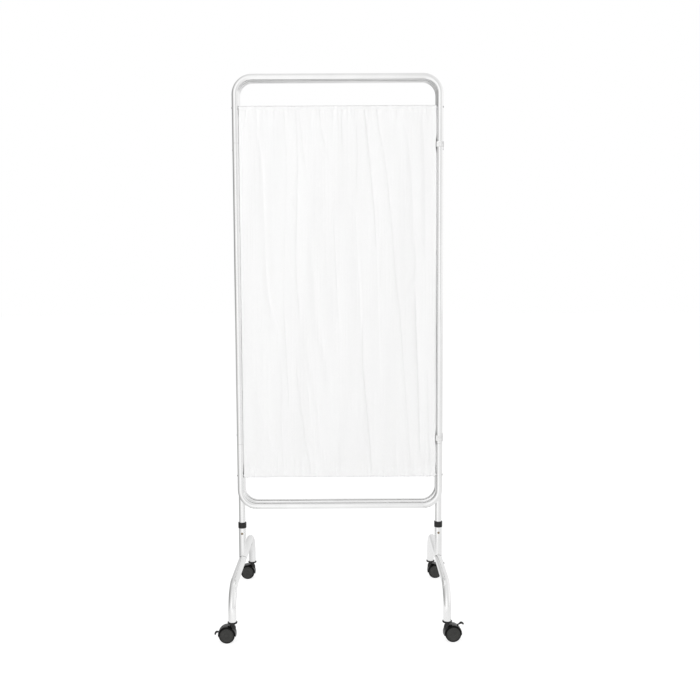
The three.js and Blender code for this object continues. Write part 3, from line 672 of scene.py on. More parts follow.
def smoothed(mesh: bpy.types.Mesh, sharp_deg: float = 35.0) -> bpy.types.Mesh:
    """Shade a mesh smooth apart from the edges that turn by more than an angle, and return it."""
    mesh.polygons.foreach_set("use_smooth", np.ones(len(mesh.polygons), bool))
    mesh.set_sharp_from_angle(angle=math.radians(sharp_deg))
    mesh.update()
    return mesh


def evaluated(mesh: bpy.types.Mesh, modify: Callable[[bpy.types.Object], None]) -> bpy.types.Mesh:
    """Run modifiers on a mesh.

    Args:
        mesh: The mesh, which is left as it is.
        modify: Adds the modifiers to an object that holds it.

    Returns:
        The finished mesh.
    """
    holder = bpy.data.objects.new("work", mesh)
    bpy.context.scene.collection.objects.link(holder)
    modify(holder)
    graph = bpy.context.evaluated_depsgraph_get()
    result = bpy.data.meshes.new_from_object(holder.evaluated_get(graph), depsgraph=graph)
    bpy.data.objects.remove(holder)
    return result


def carved(mesh: bpy.types.Mesh, cutters: Sequence[Shell]) -> bpy.types.Mesh:
    """Cut closed shapes out of a closed mesh, and return what is left."""
    tools = [bpy.data.objects.new("cutter", mesh_of("cutter", shell)) for shell in cutters]

    def modify(holder: bpy.types.Object) -> None:
        """Add a cut for each shape."""
        for tool in tools:
            bpy.context.scene.collection.objects.link(tool)
            cut = holder.modifiers.new("cut", "BOOLEAN")
            cut.object, cut.operation, cut.solver = tool, "DIFFERENCE", "EXACT"

    result = evaluated(mesh, modify)
    for tool in tools:
        bpy.data.objects.remove(tool)
    return smoothed(result)


@dataclass(frozen=True)
class Path:
    """Stations along a line that lies in one plane."""

    points: np.ndarray
    tangents: np.ndarray
    normal: np.ndarray

    def side(self) -> np.ndarray:
        """Return the direction at each station that lies in the plane, at right angles to the path."""
        return np.cross(self.tangents, self.normal)


def rounded(
    points: Sequence[Sequence[float]],
    radii: float | Sequence[float],
    closed: bool = False,
    steps: int = 6,
) -> np.ndarray:
    """Round the corners of an outline.

    A corner P becomes the curve (1 - t)^2 A + 2 t (1 - t) P + t^2 B with t from 0 to 1, where A and B lie
    the corner's radius away from P, towards the corners before and after it.

    Args:
        points: The outline's corners.
        radii: One radius for all the corners, or one for each.
        closed: Whether the last corner joins the first. The end corners of an open outline stay sharp.
        steps: The number of points that a corner becomes.

    Returns:
        The points of the rounded outline, without repeats.
    """
    corner = np.asarray(points, float)
    reach = np.array(np.broadcast_to(np.asarray(radii, float), len(corner)))
    if not closed:
        reach[[0, -1]] = 0
    before, after = np.roll(corner, 1, 0) - corner, np.roll(corner, -1, 0) - corner
    start = corner + before * (reach / np.maximum(np.linalg.norm(before, axis=1), SAME_SPOT))[:, None]
    end = corner + after * (reach / np.maximum(np.linalg.norm(after, axis=1), SAME_SPOT))[:, None]
    t = np.linspace(0, 1, steps)[None, :, None]
    curve = (1 - t) ** 2 * start[:, None] + 2 * t * (1 - t) * corner[:, None] + t**2 * end[:, None]
    flat = curve.reshape(-1, corner.shape[1])
    fresh = np.linalg.norm(flat - np.roll(flat, 1, 0), axis=1) > SAME_SPOT
    fresh[0] = not closed or fresh[0]
    return flat[fresh]


def distances(line: np.ndarray) -> np.ndarray:
    """Measure how far along an outline each of its points lies."""
    return np.concatenate([[0.0], np.cumsum(np.linalg.norm(np.diff(line, axis=0), axis=1))])


def left_of(line: np.ndarray) -> np.ndarray:
    """Return the direction at each point of a flat outline that points to its left, at right angles to it."""
    way = np.gradient(line, axis=0)
    way /= np.linalg.norm(way, axis=1)[:, None]
    return np.stack([-way[:, 1], way[:, 0]], -1)


def resampled(points: np.ndarray, step: float) -> np.ndarray:
    """Place points along an outline at even distances of about one step."""
    length = distances(points)
    even = np.linspace(0, length[-1], max(2, round(length[-1] / step) + 1))
    return np.stack([np.interp(even, length, values) for values in points.T], -1)


def bent(corners: Sequence[Sequence[float]], radius: float, normal: np.ndarray, steps: int = 14) -> Path:
    """Lay a path along straight runs, with an arc at each right-angled corner.

    The arc is start + R (sin a) entry + R (1 - cos a) exit, with a from 0 to a quarter turn.

    Args:
        corners: The points where the straight runs would meet, and the two ends.
        radius: The radius of the arcs.
        normal: The direction at right angles to the path's plane.
        steps: The number of steps in an arc.

    Returns:
        The path.
    """
    spot = np.asarray(corners, float)
    run = spot[1:] - spot[:-1]
    run /= np.linalg.norm(run, axis=1)[:, None]
    angle = np.linspace(0, math.pi / 2, steps + 1)[None, :, None]
    entry, leave = run[:-1, None], run[1:, None]
    forward, inward = radius * np.sin(angle), radius * (1 - np.cos(angle))
    arc = spot[1:-1, None] - radius * entry + forward * entry + inward * leave
    lean = np.cos(angle) * entry + np.sin(angle) * leave
    points = np.vstack([spot[:1], arc.reshape(-1, 3), spot[-1:]])
    tangents = np.vstack([run[:1], lean.reshape(-1, 3), run[-1:]])
    return Path(points, tangents, normal)


def pipe(path: Path, radius: float, bore: float, bevel: float = 0.0004) -> np.ndarray:
    """Carry a ring along a path, out along the outer wall and back along the bore.

    A point is station + inset * tangent + r (cos a) side + r (sin a) normal, and the two rims are bevelled.

    Args:
        path: The tube's centre line.
        radius: The outer radius.
        bore: The inner radius.
        bevel: The size of the bevel at the rims.

    Returns:
        A grid of points that closes in both directions.
    """
    last = len(path.points) - 1
    along = np.arange(1, last)
    still = np.zeros(len(along))
    station = np.concatenate([[0, 0], along, [last] * 4, along[::-1], [0, 0]])
    inset = bevel * np.concatenate([[0, 1], still, [-1, 0, 0, -0.5], still, [0.5, 0]])
    rim, lip = radius - bevel, bore + bevel / 2
    turn = [radius, rim, lip, bore]
    rings = np.concatenate([[rim, radius], still + radius, turn, still + bore, [bore, lip]])
    angle = np.linspace(0, 2 * math.pi, SIDES, endpoint=False)
    centre = path.points[station] + inset[:, None] * path.tangents[station]
    spoke = np.cos(angle)[None, :, None] * path.side()[station][:, None]
    spoke = spoke + np.sin(angle)[None, :, None] * path.normal
    return centre[:, None] + rings[:, None, None] * spoke


def revolved(
    profile: Sequence[Sequence[float]],
    axis: np.ndarray = Z_AXIS,
    base: Sequence[float] = (0, 0, 0),
    sides: int = SIDES,
    shape: np.ndarray | float = 1.0,
) -> np.ndarray:
    """Turn a profile of radius and distance along the axis round that axis.

    A point is base + distance * axis + radius * shape * ((cos a) u + (sin a) v), with u and v at right
    angles to the axis.

    Args:
        profile: The profile's rows.
        axis: The direction of the axis.
        base: The point on the axis where the distance is zero.
        sides: The number of points round a ring.
        shape: A factor for the radius at each row and side, for what isn't round.

    Returns:
        A grid of points, one row for each row of the profile.
    """
    rows = np.asarray(profile, float)
    u = np.cross(axis, X_AXIS if abs(axis[0]) < 0.9 else Z_AXIS)
    v = np.cross(axis, u)
    angle = np.linspace(0, 2 * math.pi, sides, endpoint=False)
    spoke = np.cos(angle)[:, None] * u + np.sin(angle)[:, None] * v
    radius = rows[:, 0, None] * np.broadcast_to(shape, (len(rows), sides))
    return np.asarray(base, float) + rows[:, 1, None, None] * axis + radius[..., None] * spoke


def saddled(
    points: np.ndarray, along: int, across: int, centre: Sequence[float], radius: float
) -> np.ndarray:
    """Move points along one axis on to a round bar, as the end of a tube is shaped to sit on another.

    The new place is the bar's centre, plus or minus the root of (radius squared - offset squared).

    Args:
        points: Any array of points.
        along: The axis that they move along, 0 to 2.
        across: The axis at right angles to that one and to the bar.
        centre: A point on the bar's centre line.
        radius: The bar's radius.

    Returns:
        The moved points.
    """
    result = points.copy()
    offset = np.clip(points[..., across] - centre[across], -radius, radius)
    way = np.sign(points[..., along].mean() - centre[along])
    result[..., along] = centre[along] + way * np.sqrt(radius**2 - offset**2)
    return result


# Sub-assemblies


@dataclass
class SubAssembly:
    """Pieces that move with one body of the frame."""

    body: str
    made: list[str] = field(default_factory=list, init=False)

    def add(
        self,
        name: str,
        mesh: bpy.types.Mesh,
        finish: Finish,
        replaces: Iterable[str] = (),
        body: str | None = None,
    ) -> bpy.types.Object:
        """Put a finished mesh into the scene as a piece of this sub-assembly.

        Args:
            name: The piece's name.
            mesh: Its mesh, in place.
            finish: Its finish.
            replaces: The frame's nodes that it stands for.
            body: The body that it rides on, if not this sub-assembly's own.

        Returns:
            The new object.
        """
        piece = bpy.data.objects.new(name, mesh)
        bpy.context.scene.collection.objects.link(piece)
        mesh.materials.clear()
        mesh.materials.append(material_of(finish))
        nodes = list(replaces)
        if nodes:
            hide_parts(*nodes)
        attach(piece, body or self.body)
        self.made.append(name)
        LOG.info("%s: %d faces, rides on %s", name, len(mesh.polygons), body or self.body)
        return piece

    def add_pipe(self, node: str, points: np.ndarray) -> bpy.types.Object:
        """Add a steel tube that stands for one of the frame's nodes."""
        return self.add(f"{node}_steel", mesh_of(node, grid(points, Ends.LOOP)), STEEL, [node])

    def keep(self, node: str, finish: Finish) -> None:
        """Leave one of the frame's own nodes showing, in a finish."""
        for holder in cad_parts[node].material_slots:
            holder.material = material_of(finish)
        self.made.append(node)


@dataclass
class PanelFrame(SubAssembly):
    """The steel of one panel: bows, side tubes, rods and rivets."""

    name: str
    y: float
    facing: int
    corner_radius: float = 0.055
    bow_leg: float = 0.222
    spigot_radius: float = 0.0092
    spigot_bore: float = 0.008
    spigot_length: float = 0.04
    swage_slope: float = 0.003
    shoulder: float = 0.0006
    rod_reach: float = 0.328
    rod_bore: float = 0.003
    joint_rivet_shift: tuple[float, float] = (0.032, -0.023)
    rivet_turn_deg: float = 25.0
    rivet_radius: float = 0.0026
    rivet_rise: float = 0.0013
    screw_radius: float = 0.0031
    screw_rise: float = 0.0018
    dome_share: float = 0.46

    def build(self) -> None:
        """Build the whole frame."""
        self.build_bows()
        self.build_sides()
        self.build_rods()
        self.build_rivets()

    @property
    def seams(self) -> tuple[float, float]:
        """The heights of the lower and upper joints between the bows and the side tubes."""
        return PANEL_BOTTOM + self.bow_leg, PANEL_TOP - self.bow_leg

    def build_bow(self, node: str, seam: float, rail: float) -> None:
        """Bend a bow from one side's joint up or down to the rail and back to the other side's joint."""
        y, side = self.y, TUBE_SIDE
        corners = [(-side, y, seam), (-side, y, rail), (side, y, rail), (side, y, seam)]
        line = bent(corners, self.corner_radius, Y_AXIS)
        self.add_pipe(node, pipe(line, FRAME_RADIUS, FRAME_BORE, self.shoulder))

    def build_bows(self) -> None:
        """Build the top bow."""
        self.build_bow(f"{self.name}_top_bow", self.seams[1], PANEL_TOP - FRAME_RADIUS)

    def build_sides(self) -> None:
        """Build the two side tubes."""
        raise NotImplementedError

    def swaged_end(self, shoulder: float, way: int) -> list[tuple[float, float]]:
        """Give the profile of a swaged end, from the outer wall over the spigot to the bore.

        Args:
            shoulder: The height of the shoulder that meets the bow.
            way: 1 for an upper end, and -1 for a lower end.

        Returns:
            Rows of radius and height.
        """
        tip = shoulder + way * self.spigot_length
        lead = way * self.shoulder
        return [
            (FRAME_RADIUS, shoulder - lead),
            (FRAME_RADIUS - self.shoulder, shoulder),
            (self.spigot_radius, shoulder),
            (self.spigot_radius, tip - lead),
            (self.spigot_radius - self.shoulder, tip),
            (self.spigot_bore, tip),
            (self.spigot_bore, shoulder),
            (FRAME_BORE, shoulder - way * self.swage_slope),
        ]

    def build_rods(self) -> None:
        """Build the two curtain rods."""
        for place, height in (("upper", UPPER_ROD), ("lower", LOWER_ROD)):
            ends = np.array([[-self.rod_reach, self.y, height], [self.rod_reach, self.y, height]])
            rod = Path(ends, np.array([X_AXIS, X_AXIS]), Y_AXIS)
            self.add_pipe(f"{self.name}_{place}_rod", pipe(rod, ROD_RADIUS, self.rod_bore))

    def heads(self, heights: Sequence[float], radius: float, rise: float) -> Shell:
        """Set a domed head on the outer side of both side tubes at each height.

        The dome's profile is nearly a quarter of an ellipse, over a short straight foot sunk into the tube.

        Args:
            heights: The heights of the heads.
            radius: A head's radius.
            rise: How far its middle stands out.

        Returns:
            The heads, as one surface.
        """
        angle = np.linspace(0, self.dome_share * math.pi, 6)
        dome = np.stack([radius * np.cos(angle), rise * np.sin(angle)], -1)
        head = grid(revolved(np.vstack([[radius, -radius / 4], dome]), sides=20), Ends.POLES)
        turn = math.radians(self.rivet_turn_deg)
        sides = np.repeat([-1.0, 1.0], len(heights))
        lean = np.full(len(sides), -self.facing * math.sin(turn))
        axes = np.stack([sides * math.cos(turn), lean, np.zeros(len(sides))], -1)
        middle = np.stack([sides * TUBE_SIDE, np.full(len(sides), self.y), np.tile(heights, 2)], -1)
        return copies(head, middle + axes * FRAME_RADIUS, axes)

    def build_rivets(self) -> None:
        """Build the rivets of the joints and the screws in the ends of the rods."""
        joints = [seam + shift for seam, shift in zip(self.seams, self.joint_rivet_shift)]
        rivets = self.heads(joints, self.rivet_radius, self.rivet_rise)
        screws = self.heads([LOWER_ROD, UPPER_ROD], self.screw_radius, self.screw_rise)
        self.add(f"{self.name}_rivets", mesh_of("rivets", rivets, sharp_deg=50), RIVET)
        self.add(f"{self.name}_rod_screws", mesh_of("rod_screws", screws, sharp_deg=50), RIVET)


@dataclass
class Wing(PanelFrame):
    """A wing: a closed frame of two bows, with a hinge tube and a free tube plugged in between."""

    def build_bows(self) -> None:
        """Build the top and bottom bows."""
        super().build_bows()
        self.build_bow(f"{self.name}_bottom_bow", self.seams[0], PANEL_BOTTOM + FRAME_RADIUS)

    def build_sides(self) -> None:
        """Turn the two side tubes, which are swaged at both ends."""
        low, high = self.seams
        upper = self.swaged_end(high - FIT_GAP, 1)
        lower = self.swaged_end(low + FIT_GAP, -1)[::-1]
        for part, side in (("hinge_tube", self.facing), ("free_tube", -self.facing)):
            base = (side * TUBE_SIDE, self.y, 0)
            self.add_pipe(f"{self.name}_{part}", revolved(lower + upper, base=base))


@dataclass
class CentreFrame(PanelFrame):
    """The centre frame: a top bow on two long legs, which the curtain rods tie together."""

    leg_foot: float = 0.1825

    def build_sides(self) -> None:
        """Turn the two legs."""
        upper = self.swaged_end(self.seams[1] - FIT_GAP, 1)
        foot = [
            (FRAME_BORE, self.leg_foot),
            (FRAME_RADIUS - self.shoulder, self.leg_foot),
            (FRAME_RADIUS, self.leg_foot + self.shoulder),
        ]
        for part, side in (("left_leg", -1), ("right_leg", 1)):
            self.add_pipe(f"{self.name}_{part}", revolved(foot + upper, base=(side * TUBE_SIDE, self.y, 0)))


@dataclass
class HingeClips(SubAssembly):
    """The two double-ring clips that join a wing to the centre frame."""

    name: str
    facing: int
    height: float = 0.018
    wall: float = 0.0016
    edge: float = 0.0006
    waist: float = 0.0003
    waist_height: float = 0.009
    flare: float = 0.001
    half_turn: int = 25

    def build(self) -> None:
        """Build both clips."""
        for place, height in zip(("lower", "upper"), CLIP_HEIGHTS):
            node = f"{self.name}_{place}_hinge_clip"
            self.add(f"{node}_moulding", self.mesh(node, height), PALE, [node])

    def mesh(self, node: str, middle: float) -> bpy.types.Mesh:
        """Mould a clip: an outline of two half circles and two straight sides, with two bores.

        The outline is centre + R (cos a, sin a), where the centre is one tube for the first half turn and the
        other tube for the second, and R draws in at the rims and a little at the waist.

        Args:
            node: The name of the node that it stands for.
            middle: The height of the clip's middle.

        Returns:
            The mesh.
        """
        radius = FRAME_RADIUS + FIT_GAP + self.wall
        top, waist, rim = self.height / 2, self.waist_height / 2, self.edge
        soft = 0.3 * rim
        upper = np.array([
            (rim, top),
            (soft, top - soft),
            (0, top - rim),
            (0, waist + rim),
            (self.waist, waist),
        ])
        inset, level = np.vstack([upper, upper[::-1] * [1, -1]]).T
        first = np.linspace(0, math.pi, self.half_turn)
        angle = np.concatenate([first, first + math.pi])
        centre = np.repeat([0.0, -FRAME_PITCH], self.half_turn)
        reach = (radius - inset)[:, None]
        x = self.facing * (TUBE_SIDE + reach * np.cos(angle))
        y = self.facing * (centre + reach * np.sin(angle))
        z = np.broadcast_to((middle + level)[:, None], x.shape)
        body = mesh_of(node, grid(np.stack([x, y, z], -1), Ends.POLES))
        bore, over = FRAME_RADIUS + FIT_GAP, self.flare
        wide, straight = bore + 1.6 * over, top - 0.6 * over
        profile = [(wide, middle - top - over), (bore, middle - straight)]
        profile += [(bore, middle + straight), (wide, middle + top + over)]
        places = [(self.facing * TUBE_SIDE, -self.facing * FRAME_PITCH * tube, 0) for tube in (0, 1)]
        return carved(body, [grid(revolved(profile, base=place), Ends.POLES) for place in places])


# Curtains


def eased(share: np.ndarray) -> np.ndarray:
    """Rise from 0 to 1 by 3 t^2 - 2 t^3, where t is the share held between 0 and 1."""
    t = np.clip(share, 0, 1)
    return t * t * (3 - 2 * t)


class Crease(Enum):
    """The forms of a fold, as the widths of its left and right flanks in metres."""

    THIN = (0.003, 0.022)
    SOFT = (0.0085, 0.0065)
    BROAD = (0.013, 0.015)
    WIDE = (0.008, 0.022)
    LIGHT = (0.020, 0.0035)


@dataclass(frozen=True)
class Fold:
    """A fold that runs down the cloth, through points given as shares of its width and height."""

    form: Crease
    depth: float
    path: tuple[tuple[float, float], ...]


# The folds that the front of a curtain shows.
FOLDS = (
    Fold(Crease.THIN, 0.0009, (
        (0.236, -0.1), (0.233, 0.073), (0.243, 0.119), (0.242, 0.194), (0.227, 0.343), (0.219, 0.542),
        (0.23, 0.68),
    )),
    Fold(Crease.THIN, 0.0015, ((0.219, 0.542), (0.242, 0.83))),
    Fold(Crease.THIN, 0.0016, (
        (0.297, -0.1), (0.293, 0.03), (0.298, 0.148), (0.283, 0.402), (0.285, 0.464), (0.304, 0.6),
    )),
    Fold(Crease.SOFT, 0.0010, ((0.296, 0.14), (0.283, 0.402))),
    Fold(Crease.THIN, 0.0012, ((0.3, -0.02), (0.332, 0.146), (0.356, 0.23))),
    Fold(Crease.THIN, 0.0014, ((0.402, -0.1), (0.417, 0.065), (0.443, 0.116), (0.475, 0.17))),
    Fold(Crease.THIN, 0.0014, ((0.127, -0.1), (0.127, 0.04))),
    Fold(Crease.THIN, 0.0010, ((0.26, -0.1), (0.265, 0.08))),
    Fold(Crease.SOFT, 0.0016, (
        (0.08, 0.05), (0.112, 0.119), (0.13, 0.464), (0.141, 0.52), (0.167, 0.564), (0.205, 0.63),
    )),
    Fold(Crease.THIN, 0.0010, ((0.474, 0.25), (0.501, 0.6))),
    Fold(Crease.LIGHT, 0.0008, ((0.49, 0.42), (0.503, 0.6))),
    Fold(Crease.BROAD, 0.0026, (
        (0.358, 0.33), (0.382, 0.558), (0.402, 0.618), (0.431, 0.669), (0.445, 0.723), (0.447, 0.8),
    )),
    Fold(Crease.THIN, 0.0015, ((0.534, -0.1), (0.522, 0.038), (0.529, 0.15))),
    Fold(Crease.THIN, 0.0015, ((0.605, -0.1), (0.592, 0.03), (0.603, 0.127), (0.598, 0.165), (0.599, 0.27))),
    Fold(Crease.LIGHT, 0.0011, ((0.583, 0.22), (0.608, 0.494), (0.614, 0.62))),
    Fold(Crease.THIN, 0.0023, ((0.625, 0.56), (0.622, 0.677), (0.631, 0.736), (0.662, 0.917), (0.682, 1.1))),
    Fold(Crease.THIN, 0.0022, ((0.632, -0.1), (0.638, 0.008), (0.68, 0.24), (0.7, 0.4))),
    Fold(Crease.LIGHT, 0.0011, ((0.69, 0.30), (0.70, 0.483), (0.714, 0.76))),
    Fold(Crease.THIN, 0.0016, (
        (0.69, -0.1), (0.706, 0.057), (0.726, 0.097), (0.752, 0.194), (0.772, 0.299), (0.8, 0.494),
        (0.812, 0.529), (0.821, 0.588), (0.863, 0.903), (0.889, 1.1),
    )),
    Fold(Crease.THIN, 0.0014, ((0.805, -0.1), (0.799, 0.09))),
    Fold(Crease.WIDE, 0.0022, (
        (0.828, 0.02), (0.85, 0.067), (0.862, 0.102), (0.88, 0.224), (0.886, 0.343), (0.901, 0.418),
        (0.895, 0.464), (0.852, 0.494), (0.835, 0.53),
    )),
    Fold(Crease.THIN, 0.0028, ((0.893, 0.47), (0.91, 0.75), (0.921, 0.96))),
    Fold(Crease.SOFT, 0.0020, ((0.893, 0.48), (0.905, 0.72))),
    Fold(Crease.WIDE, 0.0024, ((0.922, -0.02), (0.939, 0.102), (0.946, 0.43))),
    Fold(Crease.THIN, 0.0014, ((0.953, -0.05), (0.953, 0.07))),
    Fold(Crease.THIN, 0.0015, ((0.956, 0.67), (0.963, 0.841), (0.984, 1.1))),
    Fold(Crease.SOFT, 0.0010, ((0.799, 0.82), (0.799, 0.917), (0.793, 0.947), (0.801, 1.1))),
    Fold(Crease.THIN, 0.0006, ((0.501, 0.85), (0.503, 1.1))),
    Fold(Crease.THIN, 0.0013, ((0.2, 0.65), (0.207, 0.782), (0.198, 0.828), (0.219, 1.1))),
    Fold(Crease.LIGHT, 0.0006, ((0.195, 0.65), (0.202, 0.782), (0.193, 0.828), (0.212, 1.1))),
    Fold(Crease.THIN, 0.0015, ((0.278, 0.65), (0.286, 0.736), (0.325, 0.903), (0.371, 1.05))),
    Fold(Crease.LIGHT, 0.0009, ((0.298, 0.62), (0.327, 0.707), (0.371, 0.917), (0.379, 1.1))),
    Fold(Crease.BROAD, 0.0014, ((0.31, 0.56), (0.35, 0.72))),
    Fold(Crease.BROAD, 0.0014, ((0.332, 0.66), (0.367, 0.736), (0.398, 0.79))),
    Fold(Crease.SOFT, 0.0010, ((0.367, 0.74), (0.394, 0.858), (0.397, 0.97))),
    Fold(Crease.BROAD, 0.0016, ((0.06, 0.72), (0.082, 0.812), (0.184, 0.97))),
)


@dataclass
class Curtain(SubAssembly):
    """A gathered curtain between two rods, with a pocket at each end and its stitching."""

    name: str
    y: float
    facing: int
    mirrored: bool
    seed: int
    pinched: tuple[int, ...] = (1,)
    width: float = 0.6444
    thickness: float = 0.0006
    pocket_depth: float = 0.0052
    pocket_room: float = 0.0007
    hang: float = 0.004
    lap: tuple[float, float] = (0.0011, 0.002)  # the pocket's sewn edge: behind the sheet, and past the seam
    loop_rise: tuple[float, float] = (0.006, 0.008)  # where the top pocket's back and front leave the seam
    loop_radii: tuple[float, ...] = (0, 0.004, 0.004, 0.004, 0.005, 0)
    sack_drop: float = 0.013
    sack_radii: tuple[float, ...] = (0, 0.006, 0.0028, 0.004, 0.006, 0)
    top: float = 1.6848
    top_seam: float = 1.6715
    bottom: float = 0.4573
    bottom_seam: float = 0.489
    fold_fade: float = 0.07
    billow: float = 0.0012
    ripple: float = 0.0004
    gathers: int = 84
    gather_shift: float = 0.35
    gather_depth: tuple[float, float] = (0.0004, 0.0013)
    gather_width: tuple[float, float] = (0.0022, 0.0042)
    gather_length: tuple[float, float] = (0.010, 0.06)
    gather_slant: float = 0.12
    lower_gathers: float = 0.6
    pocket_share: float = 0.9
    room_growth: tuple[float, float] = (0.008, 0.006)  # the room gained away from the rod, and over what way
    swell_length: float = 0.05
    free_length: float = 0.03
    side_hem: float = 0.009
    side_step: float = 0.0004
    side_slope: float = 0.0005
    side_fade: float = 0.007
    overlap: float = 0.0013
    sway: float = 0.0001
    pinch: float = 0.0024
    pinch_length: float = 0.018
    columns: int = 306
    # How far apart the rows are in the pockets. On the sheet: their start and end, from the seam, and how far
    # apart they are.
    loop_step: float = 0.0025
    sack_step: float = 0.0027
    upper_rows: tuple[float, float, float] = (0.003, 0.08, 0.0045)
    middle_step: float = 0.0125
    lower_rows: tuple[float, float, float] = (0.05, 0.003, 0.0055)
    stitch_pitch: float = 0.0036
    stitch_length: float = 0.0026
    stitch_radius: float = 0.00025
    stitch_rise: float = 0.0012
    stitch_margin: tuple[float, float] = (0.004, 0.003)
    cut_width: float = 0.72
    cut_length: float = 1.32

    def section(self) -> tuple[np.ndarray, np.ndarray]:
        """Lay the line that the cloth follows from the back of the top pocket to the back of the bottom one.

        Returns:
            The rows' places as Y and Z, and the directions at right angles that point behind the sheet.
        """
        deep, seam, low, hang = self.pocket_depth, self.top_seam, self.bottom_seam, self.hang
        (lap, past), (back, front) = self.lap, self.loop_rise
        loop = [(lap - hang, seam - past), (deep, seam + back), (deep, self.top), (-deep, self.top)]
        loop += [(-deep, seam + front), (-hang, seam)]
        sack = [(-hang, low), (-deep, low - self.sack_drop), (-deep, self.bottom), (deep, self.bottom)]
        sack += [(deep, low - self.sack_drop), (lap - hang, low + past)]
        first, upper, close = self.upper_rows
        lower, last, even = self.lower_rows
        drop = seam - low
        steps = [
            np.arange(first, upper, close),
            np.arange(upper, drop - lower, self.middle_step),
            np.arange(drop - lower, drop - last, even),
        ]
        sheet = seam - np.concatenate(steps)
        line = np.vstack([
            resampled(rounded(loop, self.loop_radii), self.loop_step),
            np.stack([np.full_like(sheet, -hang), sheet], -1),
            resampled(rounded(sack, self.sack_radii), self.sack_step),
        ])
        return line, left_of(line)

    def fold_offsets(self, across: np.ndarray, down: np.ndarray) -> np.ndarray:
        """Add up the folds.

        A fold is depth * exp(-(d / w)^2), where d is the distance from its line and w is the width of the
        flank on that side. The line passes smoothly by its points, and the ends fade.

        Args:
            across: Shares of the width, one for each column.
            down: Shares of the height, one for each row.

        Returns:
            How far the cloth stands back at each row and column.
        """
        window = np.linspace(-0.02, 0.02, 5)
        total = np.zeros((len(down), len(across)))
        for fold in FOLDS:
            xs, ys = np.array(fold.path).T
            line = np.interp(down[:, None] + window, ys, xs).mean(axis=1)
            fade_length = min(self.fold_fade, (ys[-1] - ys[0]) / 2)
            fade = eased((down - ys[0]) / fade_length) * eased((ys[-1] - down) / fade_length)
            distance = (across - line[:, None]) * self.width
            reach = np.where(distance < 0, *fold.form.value)
            total += fold.depth * fade[:, None] * np.exp(-((distance / reach) ** 2))
        return total

    def slow_offsets(self, across: np.ndarray, down: np.ndarray, rng: np.random.Generator) -> np.ndarray:
        """Add up slow waves: one broad one, and smaller ones of 3 to 9 cycles across and up to 1.5 down."""
        total = self.billow * np.sin(2 * math.pi * (2.5 * across + down[:, None]))
        for cycles in (3, 4, 5, 7, 9):
            drift, phase = rng.uniform(-1.5, 1.5), rng.uniform(0, 1)
            total += self.ripple * np.sin(2 * math.pi * (cycles * across + drift * down[:, None] + phase))
        return total

    def gather_offsets(self, across: np.ndarray, drop: np.ndarray, rng: np.random.Generator) -> np.ndarray:
        """Add up the small gathers that run from a seam.

        A gather is depth * exp(-((x - place - slant * s) / width)^2) * exp(-(s / length)^1.5), where s is the
        distance from the seam. Inside the pocket only a share of it stays.

        Args:
            across: Shares of the width, one for each column.
            drop: The distance of each row from the seam, less than zero inside the pocket.
            rng: The source of the gathers' places and sizes.

        Returns:
            How far the cloth stands back at each row and column.
        """
        count = self.gathers
        place = np.arange(count) + rng.uniform(-self.gather_shift, self.gather_shift, count) + 0.5
        place = place / count * self.width
        depth = rng.uniform(*self.gather_depth, count) * rng.choice([-1, 1], count)
        wide = rng.uniform(*self.gather_width, count)
        length = rng.uniform(*self.gather_length, count)
        slant = rng.uniform(-self.gather_slant, self.gather_slant, count)
        s = np.maximum(drop, 0)[:, None, None]
        distance = (across * self.width)[None, :, None] - place - slant * s
        ridge = depth * np.exp(-((distance / wide) ** 2)) * np.exp(-((s / length) ** 1.5))
        held = np.interp(drop, [-0.004, 0, 0.006], [self.pocket_share, 0.5, 1.0])
        return ridge.sum(axis=2) * held[:, None]

    def surface(self) -> np.ndarray:
        """Work out the sheet.

        A point is the section's row, moved behind the sheet by the folds, the slow waves and the gathers, at
        its place across, with a doubled strip along both side edges, which lie flat against the tubes and
        draw in beside the hinge clips. Inside a pocket both walls move the same way, and no nearer to the
        rod than there is room for.

        Returns:
            Rows and columns of points.
        """
        rng = np.random.default_rng(self.seed)
        line, behind = self.section()
        hem = np.array([1.06, 1.0, 0.94]) * self.side_hem / self.width
        across = np.unique(np.concatenate([np.linspace(0, 1, self.columns), hem, 1 - hem]))
        seen = 1 - across if self.mirrored else across
        down = (self.top - line[:, 1]) / (self.top - self.bottom)
        sheet = (np.abs(line[:, 0] + self.hang) < 1e-9)[:, None]
        above, below = self.top_seam - line[:, 1], line[:, 1] - self.bottom_seam
        swell = eased(above / self.swell_length) * eased(below / self.swell_length)
        slow = self.slow_offsets(seen, down, rng) + self.billow / 2
        offset = self.fold_offsets(seen, down) - slow * swell[:, None] * sheet
        offset += self.gather_offsets(seen, above, rng)
        offset += self.lower_gathers * self.gather_offsets(seen, below, rng)
        rod = np.minimum(np.abs(line[:, 1:] - UPPER_ROD), np.abs(line[:, 1:] - LOWER_ROD))
        gain, way = self.room_growth
        room = self.pocket_room + gain * eased((rod - ROD_RADIUS) / way)
        offset = np.where(sheet, offset, np.minimum(offset * behind[:, :1], room))
        edge = np.minimum(across, 1 - across) * self.width
        free = (eased(above / self.free_length) * eased(below / self.free_length))[:, None]
        offset *= 1 - free * (1 - eased(edge / self.side_fade))
        offset -= self.side_step * eased((self.side_hem - edge) / self.side_slope + 0.5)
        x = (across - 0.5) * self.width + np.zeros_like(offset)
        wave = np.sin(9 * down + self.seed)[:, None] + 0.6 * np.sin(23 * down + 2 * self.seed)[:, None]
        side = np.sign(across - 0.5)
        clips = np.exp(-(((line[:, 1:] - CLIP_HEIGHTS) / self.pinch_length) ** 2)).sum(axis=1)
        pinched = clips[:, None] * np.isin(side, self.pinched)
        outward = (self.overlap - self.sway * (1.6 - wave)) * free - (self.pinch + self.overlap) * pinched
        x += outward * side * np.abs(2 * across - 1) ** 9
        y = line[:, 0, None] + offset * behind[:, 0, None]
        z = line[:, 1, None] + offset * behind[:, 1, None]
